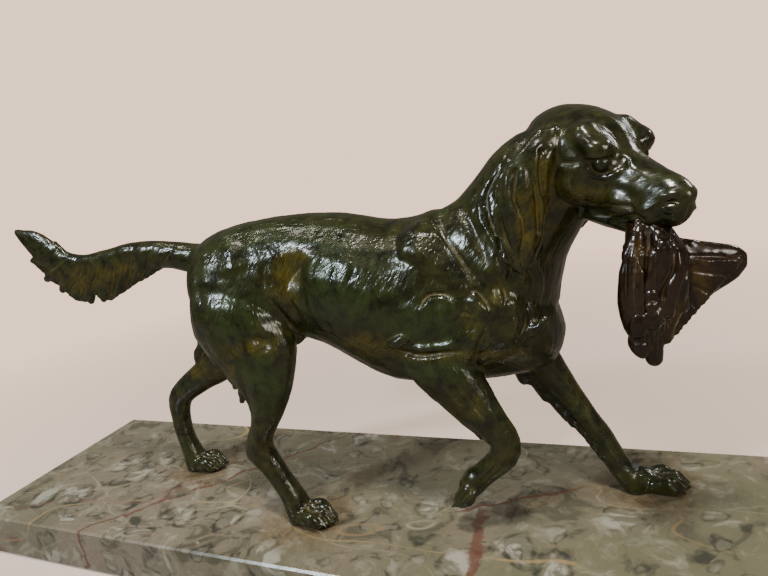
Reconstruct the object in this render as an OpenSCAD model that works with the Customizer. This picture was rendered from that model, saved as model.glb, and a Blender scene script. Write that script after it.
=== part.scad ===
// Bronze gun dog carrying a game bird, pinned to a marble plinth.
// The dog walks along +X; X runs along the plinth, Z is up and the felt rests on Z = 0.

/* [Plinth] */
// Length of the marble along X
base_l = 600; // [520:10:680]
// Depth of the marble along Y
base_w = 150; // [140:5:180]
// Thickness of the marble
base_t = 28.5; // [26:0.5:36]
// Width of the broken edge round the marble
arris = 1.2; // [0.6:0.1:2]
// Thickness of the felt glued under the marble
felt_t = 1.5; // [1:0.5:3]

/* [Dog] */
// Turn of the dog on the plinth, about Z
dog_turn = 5; // [3:0.5:7]
// Turn of the head towards the dog's right
head_turn = 43; // [38:1:48]
// Nod of the head below level
head_nod = 13; // [8:1:18]
// Size of the head against the drawing below
head_size = 1.06; // [1:0.01:1.1]
// Wall of the hollow body casting
wall = 7; // [6:0.5:9]

/* [Fixings] */
// Diameter of the studs that hold the paws down
stud_d = 5; // [4:0.5:6]
// Width across flats of the nuts
nut_af = 8; // [8:0.5:10]
// Thickness of each nut
nut_t = 4; // [3:0.5:5]
// Outside diameter of the washers
washer_d = 14; // [12:1:15]
// Thickness of each washer
washer_t = 1.2; // [1:0.1:2]
// Diameter of the counterbores under the marble
counterbore_d = 18; // [17:1:22]
// Depth of the counterbores
counterbore_h = 14; // [12:1:16]
// Diameter of the dowels in the Roman joints
dowel_d = 6; // [5:0.5:7]
// Play round a pin in its hole, on the radius
play = 0.2; // [0.15:0.05:0.3]

/* [Hidden] */

top_z = base_t + felt_t;
bronze = [0.16, 0.17, 0.12];
bronze_light = [0.27, 0.25, 0.15];
plum = [0.30, 0.18, 0.14];
brass = [0.72, 0.60, 0.32];
steel = [0.62, 0.63, 0.64];

ring_n = 24;      // points round a body section
limb_n = 16;      // points round a limb section
lump_fn = 12;     // facets round a muscle
fit_fn = 20;      // facets round a dowel hole in a casting

// ---- places of the fixings, in the dog's frame ----
stud_at = [[-50, -27], [-163, 26], [141, 20]];
stud_up = 15;
neck_at = [88, -1, 164];
neck_tilt = 31;

// each wing pin: [middle, turn]
wing_pin_at = [[[168, -30, 136], 8], [[145.4, -42.6, 134], 38]];
wing_pin_l = 8;

// ---- smooth skins through hand-set sections ----
// A section is [x, y, z, half width, height above, height below, pitch, turn].
function spline(a, b, c, d, t) =
    0.5 * (2 * b + (c - a) * t + (2 * a - 5 * b + 4 * c - d) * t * t + (3 * b - a - 3 * c + d) * t * t * t);
function eased(s, steps) = [
    for (i = [0 : len(s) - 2], j = [0 : steps - 1])
        spline(s[max(i - 1, 0)], s[i], s[i + 1], s[min(i + 2, len(s) - 1)], j / steps),
    s[len(s) - 1]];
function side_of(s) = [-sin(s[7]), cos(s[7]), 0];
function up_of(s) = [-sin(s[6]) * cos(s[7]), -sin(s[6]) * sin(s[7]), cos(s[6])];
function ring_point(s, a) = [s[0], s[1], s[2]]
    + side_of(s) * (s[3] * cos(a))
    + up_of(s) * ((sin(a) > 0 ? s[4] : s[5]) * sin(a));
function inset(s, w) = [s[0], s[1], s[2], max(s[3] - w, 2), max(s[4] - w, 2), max(s[5] - w, 2), s[6], s[7]];

module skin(sections, n = limb_n, steps = 2) {
    rows = eased(sections, steps);
    last = len(rows) - 1;
    points = [for (s = rows, k = [0 : n - 1]) ring_point(s, 360 * k / n)];
    sides = [
        for (r = [0 : last - 1], k = [0 : n - 1])
            [r * n + k, (r + 1) * n + k, (r + 1) * n + (k + 1) % n, r * n + (k + 1) % n]];
    start = [for (k = [0 : n - 1]) k];
    end = [for (k = [n - 1 : -1 : 0]) last * n + k];
    polyhedron(points, concat(sides, [start, end]), convexity = 6);
}

// A muscle, toe or lock of hair between two balls.
module lump(p, pr, q, qr) {
    hull() {
        translate(p) sphere(pr, $fn = lump_fn);
        translate(q) sphere(qr, $fn = lump_fn);
    }
}

module on_both_sides() {
    children();
    mirror([0, 1, 0]) children();
}

// ---- frames ----
module place_dog() {
    translate([0, -3, top_z]) rotate([0, 0, dog_turn]) children();
}
module place_head() {
    translate([134, -11, 189]) rotate([0, head_nod, -head_turn]) scale(head_size) children();
}
module place_neck() {
    translate(neck_at) rotate([0, 90 - neck_tilt, -8]) children();
}

// ---- trunk ----
trunk_sections = [
    [-104, 0, 147, 8, 12, 14, -8, 0],
    [-100, 0, 146, 17, 22, 26, -5, 0],
    [-92, 0, 144, 24, 28, 34, 0, 0],
    [-80, 0, 143, 29, 34, 39, 0, 0],
    [-60, 0, 143, 29, 37, 37, 0, 0],
    [-40, 0, 143, 27, 38, 34, 0, 0],
    [-20, 0, 141, 28, 39.5, 37, 0, 0],
    [0, 0, 136, 31, 42.5, 45, 0, 0],
    [20, 0, 130, 33, 43, 49, 0, 0],
    [40, 0, 128, 33, 43.5, 49, 4, 0],
    [60, 0, 128, 32, 46, 49, 10, 0],
    [78, 0, 127, 30, 45, 46, 12, 0],
    [93, 0, 123, 26, 40, 38, 14, 0],
    [103, 0, 121, 19, 30, 27, 16, 0],
    [109, 0, 120, 9, 15, 15, 16, 0]];
neck_sections = [
    [50, 0, 128, 29, 44, 44, 24, 0],
    [76, 0, 138, 29, 40, 42, 28, 0],
    [91, 0, 153, 26, 36, 37, 31, -2],
    [101, -1, 169, 22.5, 32, 31, 30, -7],
    [112, -4, 182, 20, 27, 28, 27, -15],
    [124, -7, 189, 18, 21, 22, 22, -24]];

module trunk_outside() {
    skin(trunk_sections, ring_n);
    on_both_sides() {
        lump([48, -11, 153], 18, [80, -15, 124], 19);      // shoulder blade
        lump([82, -14, 116], 19, [48, -17, 102], 16);      // upper arm
        lump([-80, -7, 150], 20, [-60, -9, 154], 20);      // hip
    }
    lump([-16, 0, 112], 6, [-28, 0, 115], 5);              // sheath
    lump([99, 0, 96], 11, [97, 0, 130], 13);               // breastbone
    lump([70, 0, 92], 13, [94, 0, 94], 12);                // brisket
}
module neck_outside() {
    skin(neck_sections, ring_n);
    lump([99, 0, 124], 13, [104, -1, 146], 12);
}
module beyond_neck() {
    place_neck() translate([-80, -80, 0]) cube([160, 160, 90]);
}
module trunk_inside() {
    skin([for (i = [2 : len(trunk_sections) - 3]) inset(trunk_sections[i], wall)], ring_n, 1);
}
module neck_bore() {
    place_neck() translate([0, 0, -13]) cylinder(r = 12, h = 26, $fn = fit_fn);
}

// ---- dowels of the Roman joints: [place, direction pitch, turn, length] ----
leg_dowel_at = [
    [[-70, -25, 122], 90, 90],
    [[-80, 25, 122], 90, 90],
    [[55, -22, 91], 128, 0],
    [[90, 17, 91], 150, 0]];
leg_dowel_l = 18;
tail_dowel_at = [-101, 0, 163];

module leg_dowel(i, r) {
    at = leg_dowel_at[i];
    translate(at[0]) rotate([0, at[1], at[2]]) cylinder(r = r, h = leg_dowel_l, center = true, $fn = fit_fn);
}
module tail_dowel_solid(r) {
    translate(tail_dowel_at) rotate([0, 90, 0]) cylinder(r = r, h = 18, center = true, $fn = fit_fn);
}
module neck_pin_solids(r) {
    place_neck() for (a = [60, 180, 300])
        rotate([0, 0, a]) translate([0, 0, -6]) rotate([0, 90, 0])
            translate([0, 0, 9.5]) cylinder(r = r, h = 40, $fn = 24);
}

module body_casting() {
    color(bronze) difference() {
        union() {
            trunk_outside();
            difference() {
                neck_outside();
                beyond_neck();
            }
        }
        trunk_inside();
        neck_bore();
        neck_pin_solids(1.5 + play);
        tail_dowel_solid(dowel_d / 2 + play);
        for (i = [0 : 3]) leg_dowel(i, dowel_d / 2 + play);
        for (p = core_plug_at) core_plug(p, 3 + play);
    }
}
core_plug_at = [[-20, 10], [25, -6]];
module core_plug(p, r) {
    translate([p[0], p[1], 60]) cylinder(r = r, h = 60, $fn = 24);
}
module core_plugs() {
    color(bronze) for (p = core_plug_at) intersection() {
        difference() {
            core_plug(p, 3);
            trunk_inside();
        }
        trunk_outside();
        translate([p[0] - 10, p[1] - 10, 60]) cube([20, 20, 60]);
    }
}

// ---- limbs ----
module paw(at, turn, rise, size = 1) {
    translate(at) rotate([0, rise, turn]) scale(size) {
        lump([2, 0, 6], 7.5, [10, 0, 5], 6);
        lump([8, -5.2, 5.4], 4.6, [17, -6.2, 3.4], 3.4);
        lump([10, -2, 6], 4.8, [21.5, -2.3, 3.6], 3.6);
        lump([10, 2, 6], 4.8, [21.5, 2.3, 3.6], 3.6);
        lump([8, 5.2, 5.4], 4.6, [17, 6.2, 3.4], 3.4);
    }
}
hindleg_near_sections = [
    [-78, -12, 153, 13, 20, 18, -90, 0],
    [-72, -17, 138, 16, 27, 26, -90, 0],
    [-67, -20, 120, 16.5, 33, 31, -90, 0],
    [-61, -22, 105, 14.5, 28, 27, -90, 0],
    [-57, -24, 92, 12, 20.5, 19, -90, 0],
    [-56, -26, 78, 9.8, 14, 12, -90, 0],
    [-60.5, -27, 64, 7.6, 9.5, 9, -90, 0],
    [-66, -27, 54, 7, 9, 10, -80, 0],
    [-67, -27, 46, 7, 9, 10.5, -70, 0],
    [-62, -27, 37, 6.6, 8, 8, -65, 0],
    [-57, -27, 27, 6.4, 7.2, 7.2, -70, 0],
    [-52, -27, 17, 7, 7.5, 7.5, -75, 0],
    [-50, -27, 8, 8, 8, 8, -90, 0],
    [-50, -27, 0, 7, 7, 7, -90, 0]];
hindleg_far_sections = [
    [-78, 12, 153, 13, 20, 18, -90, 0],
    [-77, 17, 138, 16, 27, 26, -90, 0],
    [-82, 20, 120, 16, 30, 27, -92, 0],
    [-94, 22, 105, 14, 25, 22, -100, 0],
    [-109, 23, 92, 11, 18, 16, -115, 0],
    [-124, 24, 82, 9.5, 13.5, 12, -135, 0],
    [-140, 25, 73, 8, 10.5, 9.5, -145, 0],
    [-154, 25, 64, 7, 9, 9.5, -130, 0],
    [-163, 25.5, 56, 7, 8.5, 9, -110, 0],
    [-166, 26, 46, 6.6, 7.4, 7.8, -90, 0],
    [-167, 26, 34, 6.2, 6.8, 6.8, -90, 0],
    [-166, 26, 22, 6.4, 7, 7, -85, 0],
    [-163.5, 26, 12, 7.6, 8, 7.8, -80, 0],
    [-163, 26, 5, 8.2, 8.5, 8, -90, 0],
    [-163, 26, 0, 7.2, 7.4, 7, -90, 0]];
foreleg_near_sections = [
    [42, -20, 109, 12, 17, 17, -48, 0],
    [54, -22.5, 92, 11.5, 16, 15, -52, 0],
    [63, -24, 79, 9.8, 13, 12.5, -54, 0],
    [70, -25, 69, 8.2, 10.5, 10, -55, 0],
    [76, -25, 60, 7.2, 8.6, 8.4, -60, 0],
    [79, -25, 52.5, 7.2, 8.6, 7.6, -85, 0],
    [76.5, -25, 45, 7, 8.2, 6.8, -120, 0],
    [70, -25, 38.5, 6.6, 6.8, 6.4, -138, 0],
    [62.5, -25, 31.5, 6.6, 6.4, 6.4, -135, 0],
    [56.5, -25, 25, 7, 6.6, 6.6, -128, 0]];
foreleg_far_sections = [
    [82, 15, 102, 11.5, 14, 14, -60, 0],
    [92, 18, 86, 10.6, 12.5, 12, -58, 0],
    [101, 19.5, 71, 9, 10.4, 10, -57, 0],
    [109, 20, 57, 7.6, 8.6, 8.2, -57, 0],
    [117, 20, 44.5, 6.8, 7.2, 7, -58, 0],
    [123.5, 20, 34, 6.4, 7, 6.6, -60, 0],
    [128.5, 20, 24, 6.2, 6.6, 6.4, -62, 0],
    [133, 20, 15, 6.6, 6.8, 6.6, -62, 0],
    [138, 20, 7, 7.6, 7, 6.6, -75, 0],
    [141, 20, 0, 7.4, 6.6, 6.6, -90, 0]];

module stud_hole(i) {
    translate([stud_at[i][0], stud_at[i][1], -1])
        cylinder(r = stud_d / 2 + play, h = stud_up + 1 + play, $fn = fit_fn);
}
// A limb without what the trunk already fills, cut level with the plinth.
module limb(i) {
    color(bronze_light) difference() {
        children();
        trunk_outside();
        leg_dowel(i, dowel_d / 2 + play);
        if (i < 2) stud_hole(i);
        if (i == 3) stud_hole(2);
        translate([-250, -60, -20]) cube([500, 120, 20]);
    }
}
module hindleg_near() {
    limb(0) {
        skin(hindleg_near_sections);
        paw([-52, -27, 0], -4, 0, 1.04);
        lump([-88, -19, 122], 11, [-86, -21, 104], 5);      // breeches
        lump([-80, -20, 108], 9, [-78, -21, 90], 4);
        lump([-73, -22, 98], 8, [-72, -22, 80], 3);
    }
}
module hindleg_far() {
    limb(1) {
        skin(hindleg_far_sections);
        paw([-165, 26, 0], 4, 0, 1.04);
        lump([-98, 16, 124], 10, [-108, 18, 102], 6);
        lump([-108, 19, 106], 8, [-122, 21, 90], 4);
        lump([-88, 21, 96], 8, [-96, 22, 80], 4);
    }
}
module foreleg_near() {
    limb(2) {
        skin(foreleg_near_sections);
        paw([57.5, -25, 36], 0, 122, 0.9);
        lump([42, -22, 92], 9, [47, -23, 79], 4);           // feathering
        lump([52, -24, 82], 8, [57, -24, 69], 3.5);
        lump([61, -25, 71], 7, [65, -25, 61], 3);
    }
}
module foreleg_far() {
    limb(3) {
        skin(foreleg_far_sections);
        paw([142, 20, 0], 3, 0, 1.04);
        lump([86, 18, 82], 8, [86, 18, 70], 4);
        lump([95, 19, 69], 7, [97, 19, 58], 3.5);
        lump([104, 20, 55], 6, [108, 20, 44], 3);
    }
}

// ---- tail ----
tail_sections = [
    [-243, 0, 194.5, 0.8, 0.8, 1, -30, 0],
    [-238, 0, 191, 2, 3.6, 5, -25, 0],
    [-229, 0, 185, 3, 8.5, 10, -28, 0],
    [-218, 0, 177, 3.6, 9.5, 14, -28, 0],
    [-206, 0, 170.5, 4, 6, 18, -20, 0],
    [-192, 0, 167, 4.3, 5.5, 20, -4, 0],
    [-178, 0, 167, 4.6, 5.8, 21, 4, 0],
    [-164, 0, 168.5, 5, 6, 20, 6, 0],
    [-148, 0, 170, 5.5, 6.4, 16, 2, 0],
    [-132, 0, 168.5, 6.2, 7.5, 11, -4, 0],
    [-118, 0, 165.5, 7, 8.5, 9, -8, 0],
    [-104, 0, 162.5, 8, 9, 10, -6, 0],
    [-90, 0, 161, 8, 9, 10, -6, 0]];
module tail_casting() {
    color(bronze_light) difference() {
        union() {
            skin(tail_sections);
            for (k = [0 : 7]) {
                x = -226 + 11 * k;
                low = 168 - 28 * sin(20 + 145 * k / 7);
                lump([x + 10, 0, 162], 4.4, [x, 0, low], 2.4);
            }
        }
        trunk_outside();
        tail_dowel_solid(dowel_d / 2 + play);
    }
}

// ---- head ----
head_sections = [
    [-36, 0, 3, 7, 8, 7, 0, 0],
    [-32, 0, 3, 13, 13.5, 13, 0, 0],
    [-21, 0, 2.5, 18.5, 18.5, 19, 0, 0],
    [-7, 0, 1.5, 20, 20.5, 21, 0, 0],
    [5, 0, -1, 18.8, 20.5, 19, 0, 0],
    [12, 0, -3, 15.6, 18, 16.5, 0, 0],
    [17.5, 0, -5, 12, 14, 14.5, 0, 0],
    [26, 0, -7, 10, 11.6, 12, 0, 0],
    [36, 0, -8.5, 9.4, 11, 11.4, 0, 0],
    [42, 0, -9, 8.4, 10, 10, 0, 0],
    [46, 0, -9, 5.6, 7.2, 7, 0, 0],
    [48, 0, -9, 2, 3, 3, 0, 0]];
jaw_sections = [
    [-12, 0, -17, 11, 8, 8, -10, 0],
    [5, 0, -20, 9, 6, 7, -8, 0],
    [18, 0, -22, 7, 4, 4.6, -4, 0],
    [30, 0, -22.5, 5.6, 3.4, 3.6, 0, 0],
    [38, 0, -22, 3.4, 2.4, 2.4, 4, 0]];
ear_near_sections = [
    [115, -20, 207, 4, 5, 6, -90, 20],
    [111, -25, 199, 4.6, 9, 9, -90, 14],
    [104, -28, 187, 4.8, 11, 12.5, -90, 10],
    [100.5, -29, 173, 4.4, 12, 12.5, -90, 8],
    [99, -29, 160, 4, 11, 10, -90, 6],
    [98, -28.5, 151, 3.4, 8, 7.6, -90, 6],
    [98, -28, 143.5, 1.6, 3, 3, -90, 6]];
ear_far_sections = [
    [140, 8, 204, 4, 6, 6, -90, -50],
    [140, 13, 196, 4.6, 9, 9, -90, -54],
    [136, 19, 184, 4.8, 11, 12, -90, -60],
    [131, 23, 170, 4.4, 12, 12, -90, -62],
    [126, 24, 160, 4, 9, 9, -90, -60],
    [122, 24, 152, 1.8, 3.4, 3.4, -90, -60]];
module head_outside() {
    place_head() {
        skin(head_sections, ring_n);
        skin(jaw_sections);
        lump([-4, 0, 14], 7, [8, 0, 11], 6);                       // crown
        lump([41.5, 0, -3.4], 4.6, [44.5, 0, -5.6], 4.6);           // nose leather
        on_both_sides() {
            lump([3, -10.5, 11.5], 7, [12, -12, 8.6], 6);          // brow
            lump([-12, -12, -7], 9, [3, -11.5, -8], 8);             // cheek
            lump([20, -6.4, -13], 6, [35, -5.4, -14], 5.8);         // flews
        }
    }
    skin(ear_near_sections);
    skin(ear_far_sections);
}
module head_casting() {
    color(bronze) difference() {
        union() {
            head_outside();
            intersection() {
                neck_outside();
                beyond_neck();
            }
        }
        trunk_outside();
        difference() {
            neck_outside();
            beyond_neck();
        }
        neck_bore();
        beak_pin_solid(1 + play);
    }
}

// ---- bird ----
bird_body_sections = [
    [152, -35, 163, 7, 8, 8, -90, -35],
    [154, -35, 152, 11, 13, 11, -90, -35],
    [155, -35, 138, 12, 14, 13, -90, -30],
    [154.5, -34, 126, 11, 12, 11, -90, -25],
    [153, -33, 115, 8.5, 9, 8, -90, -20],
    [151.5, -33, 107, 4, 4.5, 4.5, -90, -20]];
wing_spread_sections = [
    [157, -31, 135, 6.4, 19, 26, 0, 8],
    [165, -30, 136.5, 5.6, 17, 21, 0, 8],
    [173, -29, 139, 4.6, 12, 15, 0, 8],
    [181, -28, 140, 3.8, 9, 10.5, 0, 8],
    [187, -27, 140.5, 3, 6.4, 7, 0, 8],
    [190.5, -27, 141, 1.4, 2.6, 3, 0, 8]];
wing_folded_sections = [
    [148, -43, 154, 3, 5, 4, -90, -30],
    [145.5, -44, 144, 4.6, 7, 5.5, -90, -25],
    [144, -43.5, 130, 5, 7.5, 5.5, -90, -20],
    [145, -42, 118, 4.2, 6, 4.6, -90, -15],
    [146.5, -40, 109, 1.6, 2.4, 2, -90, -10]];
module bird_body_outside() {
    skin(bird_body_sections, ring_n);
    lump([150, -38, 120], 6, [146.5, -41, 111], 5.2);        // neck and head
    lump([146.5, -42, 110], 4.8, [147, -44, 107], 2.4);
    lump([152, -37, 112], 4.6, [152, -37, 102], 3.8);        // tail feathers
    lump([157, -36, 118], 5, [157, -36, 111], 3);
    lump([151, -45, 150], 4.2, [152, -44, 122], 4.6);        // breast ridges
    lump([158, -43, 152], 5, [158, -42, 126], 4.6);
    lump([163, -38, 148], 5, [163, -37, 126], 4.4);
    lump([148, -30, 150], 6, [150, -29, 126], 6);
}
module beak_pin_solid(r) {
    translate([151, -34, 150]) cylinder(r = r, h = 20, $fn = 24);
}
module wing_pin_solids(r) {
    for (at = wing_pin_at)
        translate(at[0]) rotate([0, 90, at[1]]) cylinder(r = r, h = wing_pin_l + 1, center = true, $fn = 24);
}
module bird_body() {
    color(plum) difference() {
        bird_body_outside();
        head_outside();
        beak_pin_solid(1 + play);
        wing_pin_solids(0.8 + play);
    }
}
module bird_wing_spread() {
    color(plum) difference() {
        union() {
            skin(wing_spread_sections, ring_n);
            for (k = [0 : 7])
                lump([161, -32.5, 142 - 1.5 * k], 3.6,
                    [186.5 - 3.6 * k, -29.5 - 0.4 * k, 142 - 4.2 * k], 2);
        }
        bird_body_outside();
        head_outside();
        wing_pin_solids(0.8 + play);
    }
}
module bird_wing_folded() {
    color(plum) difference() {
        skin(wing_folded_sections, ring_n);
        bird_body_outside();
        head_outside();
        wing_pin_solids(0.8 + play);
    }
}

// ---- fixings inside the bronze ----
module neck_sleeve() {
    color(brass) place_neck() difference() {
        translate([0, 0, -12.5]) cylinder(r = 12 - play, h = 25, $fn = 64);
        translate([0, 0, -13]) cylinder(r = 9, h = 26, $fn = 64);
        for (a = [60, 180, 300])
            rotate([0, 0, a]) translate([0, 0, -6]) rotate([0, 90, 0]) cylinder(r = 1.5 + play, h = 20, $fn = 24);
    }
}
// The cross pins are filed flush with the neck.
module neck_pins() {
    color(brass) intersection() {
        neck_pin_solids(1.5);
        union() {
            trunk_outside();
            neck_outside();
        }
    }
}
module tail_dowel() {
    color(brass) translate(tail_dowel_at) rotate([0, 90, 0])
        cylinder(r = dowel_d / 2, h = 17, center = true, $fn = 48);
}
module leg_dowels() {
    color(brass) for (at = leg_dowel_at)
        translate(at[0]) rotate([0, at[1], at[2]])
            cylinder(r = dowel_d / 2, h = leg_dowel_l - 1, center = true, $fn = 48);
}
module beak_pin() {
    color(brass) translate([151, -34, 150.5]) cylinder(r = 1, h = 19, $fn = 24);
}
module wing_pins() {
    color(brass) for (at = wing_pin_at)
        translate(at[0]) rotate([0, 90, at[1]]) cylinder(r = 0.8, h = wing_pin_l, center = true, $fn = 24);
}

// ---- plinth and its fixings ----
module at_studs() {
    for (p = stud_at) place_dog() translate([p[0], p[1], -top_z]) children();
}
module edge_break(length) {
    rotate([90, 0, 0]) linear_extrude(length, center = true)
        polygon([[-arris, 0.01], [0.01, -arris], [0.01, 0.01]]);
}
module marble_base() {
    color([0.55, 0.52, 0.47]) difference() {
        translate([-base_l / 2, -base_w / 2, felt_t]) cube([base_l, base_w, base_t]);
        for (s = [0, 180]) rotate([0, 0, s]) {
            translate([base_l / 2, 0, top_z]) edge_break(base_w + 1);
            rotate([0, 0, 90]) translate([base_w / 2, 0, top_z]) edge_break(base_l + 1);
        }
        at_studs() {
            cylinder(r = stud_d / 2 + 0.75, h = top_z + 1, $fn = 48);
            cylinder(r = counterbore_d / 2, h = felt_t + counterbore_h, $fn = 64);
        }
    }
}
module felt_sheet() {
    inset_w = 2;
    color([0.16, 0.28, 0.18])
        translate([inset_w - base_l / 2, inset_w - base_w / 2, 0])
            cube([base_l - 2 * inset_w, base_w - 2 * inset_w, felt_t]);
}
module paw_studs() {
    low = felt_t + counterbore_h - washer_t - nut_t - 2;
    color(steel) at_studs() translate([0, 0, low])
        cylinder(r = stud_d / 2, h = top_z + stud_up - low - play, $fn = 48);
}
module stud_washers() {
    color(steel) at_studs() translate([0, 0, felt_t + counterbore_h - washer_t]) difference() {
        cylinder(r = washer_d / 2, h = washer_t, $fn = 48);
        translate([0, 0, -1]) cylinder(r = stud_d / 2 + play, h = washer_t + 2, $fn = 48);
    }
}
module stud_nuts() {
    color(steel) at_studs() translate([0, 0, felt_t + counterbore_h - washer_t - nut_t]) difference() {
        cylinder(r = nut_af / 2 / cos(30), h = nut_t, $fn = 6);
        translate([0, 0, -1]) cylinder(r = stud_d / 2, h = nut_t + 2, $fn = 48);
    }
}

marble_base();
felt_sheet();
place_dog() body_casting();
place_dog() head_casting();
place_dog() tail_casting();
place_dog() foreleg_near();
place_dog() foreleg_far();
place_dog() hindleg_near();
place_dog() hindleg_far();
place_dog() bird_body();
place_dog() bird_wing_spread();
place_dog() bird_wing_folded();
place_dog() neck_sleeve();
place_dog() neck_pins();
place_dog() tail_dowel();
place_dog() leg_dowels();
place_dog() wing_pins();
place_dog() beak_pin();
place_dog() core_plugs();
paw_studs();
stud_washers();
stud_nuts();
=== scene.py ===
import math
import bpy
import bmesh
import numpy as np
from mathutils import Matrix, Vector
from mathutils.bvhtree import BVHTree


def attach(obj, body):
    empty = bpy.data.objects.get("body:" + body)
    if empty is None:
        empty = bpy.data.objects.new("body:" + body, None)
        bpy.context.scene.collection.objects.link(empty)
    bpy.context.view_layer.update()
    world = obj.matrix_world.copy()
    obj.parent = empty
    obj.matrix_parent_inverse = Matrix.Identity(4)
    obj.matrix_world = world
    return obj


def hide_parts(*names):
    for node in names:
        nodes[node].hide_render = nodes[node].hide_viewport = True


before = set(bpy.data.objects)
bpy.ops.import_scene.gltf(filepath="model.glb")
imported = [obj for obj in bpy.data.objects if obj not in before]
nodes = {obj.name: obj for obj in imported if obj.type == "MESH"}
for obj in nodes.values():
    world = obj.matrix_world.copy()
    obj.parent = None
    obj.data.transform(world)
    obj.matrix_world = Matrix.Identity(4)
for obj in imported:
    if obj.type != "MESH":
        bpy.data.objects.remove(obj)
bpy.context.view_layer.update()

scene = bpy.context.scene

# ---- where things stand: the dog is worked in millimetres, facing +X, with its paws on z = 0 ----
stand = {"at": (0.0, -3.0, 30.0), "turn": 5.0}
headSeat = {"at": (134.0, -11.0, 189.0), "nod": 13.0, "turn": -43.0, "size": 1.06}


def turnBy(degrees, axis):
    return Matrix.Rotation(math.radians(degrees), 4, axis)


toDog = Matrix.Scale(0.001, 4) @ Matrix.Translation(stand["at"]) @ turnBy(stand["turn"], "Z")
dogTurn = np.array(toDog.to_3x3().normalized())
headMatrix = (Matrix.Translation(headSeat["at"]) @ turnBy(headSeat["turn"], "Z")
              @ turnBy(headSeat["nod"], "Y") @ Matrix.Scale(headSeat["size"], 4))


def moved(points, matrix):
    full = np.array(matrix)
    return np.asarray(points, dtype=float) @ full[:3, :3].T + full[:3, 3]


def readOut(items, key, width, kind=float):  # numbers of vertices, edges or faces as rows
    values = np.empty(len(items) * width, dtype=kind)
    items.foreach_get(key, values)
    return values.reshape(-1, width)


def ramp(x, low, high):
    t = np.clip((x - low) / (high - low), 0, 1)
    return t * t * (3 - 2 * t)


# ---- clay: a mesh read into numpy, pushed about and written back ----
def pour(part, shape):  # adds one bmesh to another
    loose = bpy.data.meshes.new("loose")
    part.to_mesh(loose)
    part.free()
    shape.from_mesh(loose)
    bpy.data.meshes.remove(loose)


def castClay(name, names, extras, voxel):  # one closed skin round several castings
    shape = bmesh.new()
    for nodeName in names:
        part = bmesh.new()
        part.from_mesh(nodes[nodeName].data)
        bmesh.ops.remove_doubles(part, verts=part.verts[:], dist=1e-6)
        pour(part, shape)
    for extra in extras:
        extra(shape)
    mesh = bpy.data.meshes.new(name)
    shape.to_mesh(mesh)
    shape.free()
    return recast(mesh, voxel)


def recast(mesh, voxel, extras=()):
    if extras:
        shape = bmesh.new()
        shape.from_mesh(mesh)
        for extra in extras:
            extra(shape)
        shape.to_mesh(mesh)
        shape.free()
    holder = bpy.data.objects.new("holder", mesh)
    scene.collection.objects.link(holder)
    remesh = holder.modifiers.new("recast", "REMESH")
    remesh.mode = "VOXEL"
    remesh.voxel_size = voxel * 0.001
    shaped = holder.evaluated_get(bpy.context.evaluated_depsgraph_get())
    fresh = bpy.data.meshes.new_from_object(shaped)
    bpy.data.objects.remove(holder)
    bpy.data.meshes.remove(mesh)
    return readClay(fresh)


def readClay(mesh):
    edges = readOut(mesh.edges, "vertices", 2, np.int64)
    clay = {"mesh": mesh, "p": moved(readOut(mesh.vertices, "co", 3), toDog.inverted()), "edges": edges}
    clay["degree"] = np.maximum(np.bincount(edges.ravel(), minlength=len(mesh.vertices)), 1)[:, None]
    return refresh(clay)


def refresh(clay):
    mesh = clay["mesh"]
    mesh.vertices.foreach_set("co", moved(clay["p"], toDog).ravel())
    mesh.update()
    clay["n"] = readOut(mesh.vertex_normals, "vector", 3) @ dogTurn
    clay["tree"] = None
    return clay


def neighbourMean(clay, values):
    a, b = clay["edges"].T
    out = np.empty_like(values)
    for k in range(values.shape[1]):
        out[:, k] = (np.bincount(a, weights=values[b, k], minlength=len(values))
                     + np.bincount(b, weights=values[a, k], minlength=len(values)))
    return out / clay["degree"]


def relax(clay, steps, weight=1.0):  # each second pass pushes the volume back out
    points = clay["p"]
    weight = np.broadcast_to(np.asarray(weight, dtype=float), (len(points),))[:, None]
    for _ in range(steps):
        points = points + 0.5 * weight * (neighbourMean(clay, points) - points)
        points = points - 0.52 * weight * (neighbourMean(clay, points) - points)
    clay["p"] = points
    return refresh(clay)


def blur(clay, values, steps):
    values = values[:, None]
    for _ in range(steps):
        values = 0.5 * values + 0.5 * neighbourMean(clay, values)
    return values[:, 0]


def surfaceTree(clay):
    if clay["tree"] is None:
        mesh = clay["mesh"]
        mesh.calc_loop_triangles()
        corners = readOut(mesh.loop_triangles, "vertices", 3, np.int64)
        clay["tree"] = BVHTree.FromPolygons(clay["p"].tolist(), corners.tolist())
    return clay["tree"]


def lattice(cells, seed):  # repeatable random numbers on whole cells
    x, y, z = cells.T
    mixed = (x * 73856093) ^ (y * 19349663) ^ (z * 83492791) ^ (seed * 2654435761)
    mixed = (mixed & 0xffffffff) * 2246822519 & 0xffffffff
    mixed = ((mixed ^ (mixed >> 15)) * 3266489917) & 0xffffffff
    return ((mixed ^ (mixed >> 16)) & 0xffff) / 32767.5 - 1.0


def noiseAt(points, seed):
    base = np.floor(points).astype(np.int64)
    part = points - base
    part = part * part * (3 - 2 * part)
    total = np.zeros(len(points))
    for corner in range(8):
        step = np.array([corner & 1, corner >> 1 & 1, corner >> 2 & 1])
        share = np.prod(np.where(step == 1, part, 1 - part), axis=1)
        total += share * lattice(base + step, seed)
    return total


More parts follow.
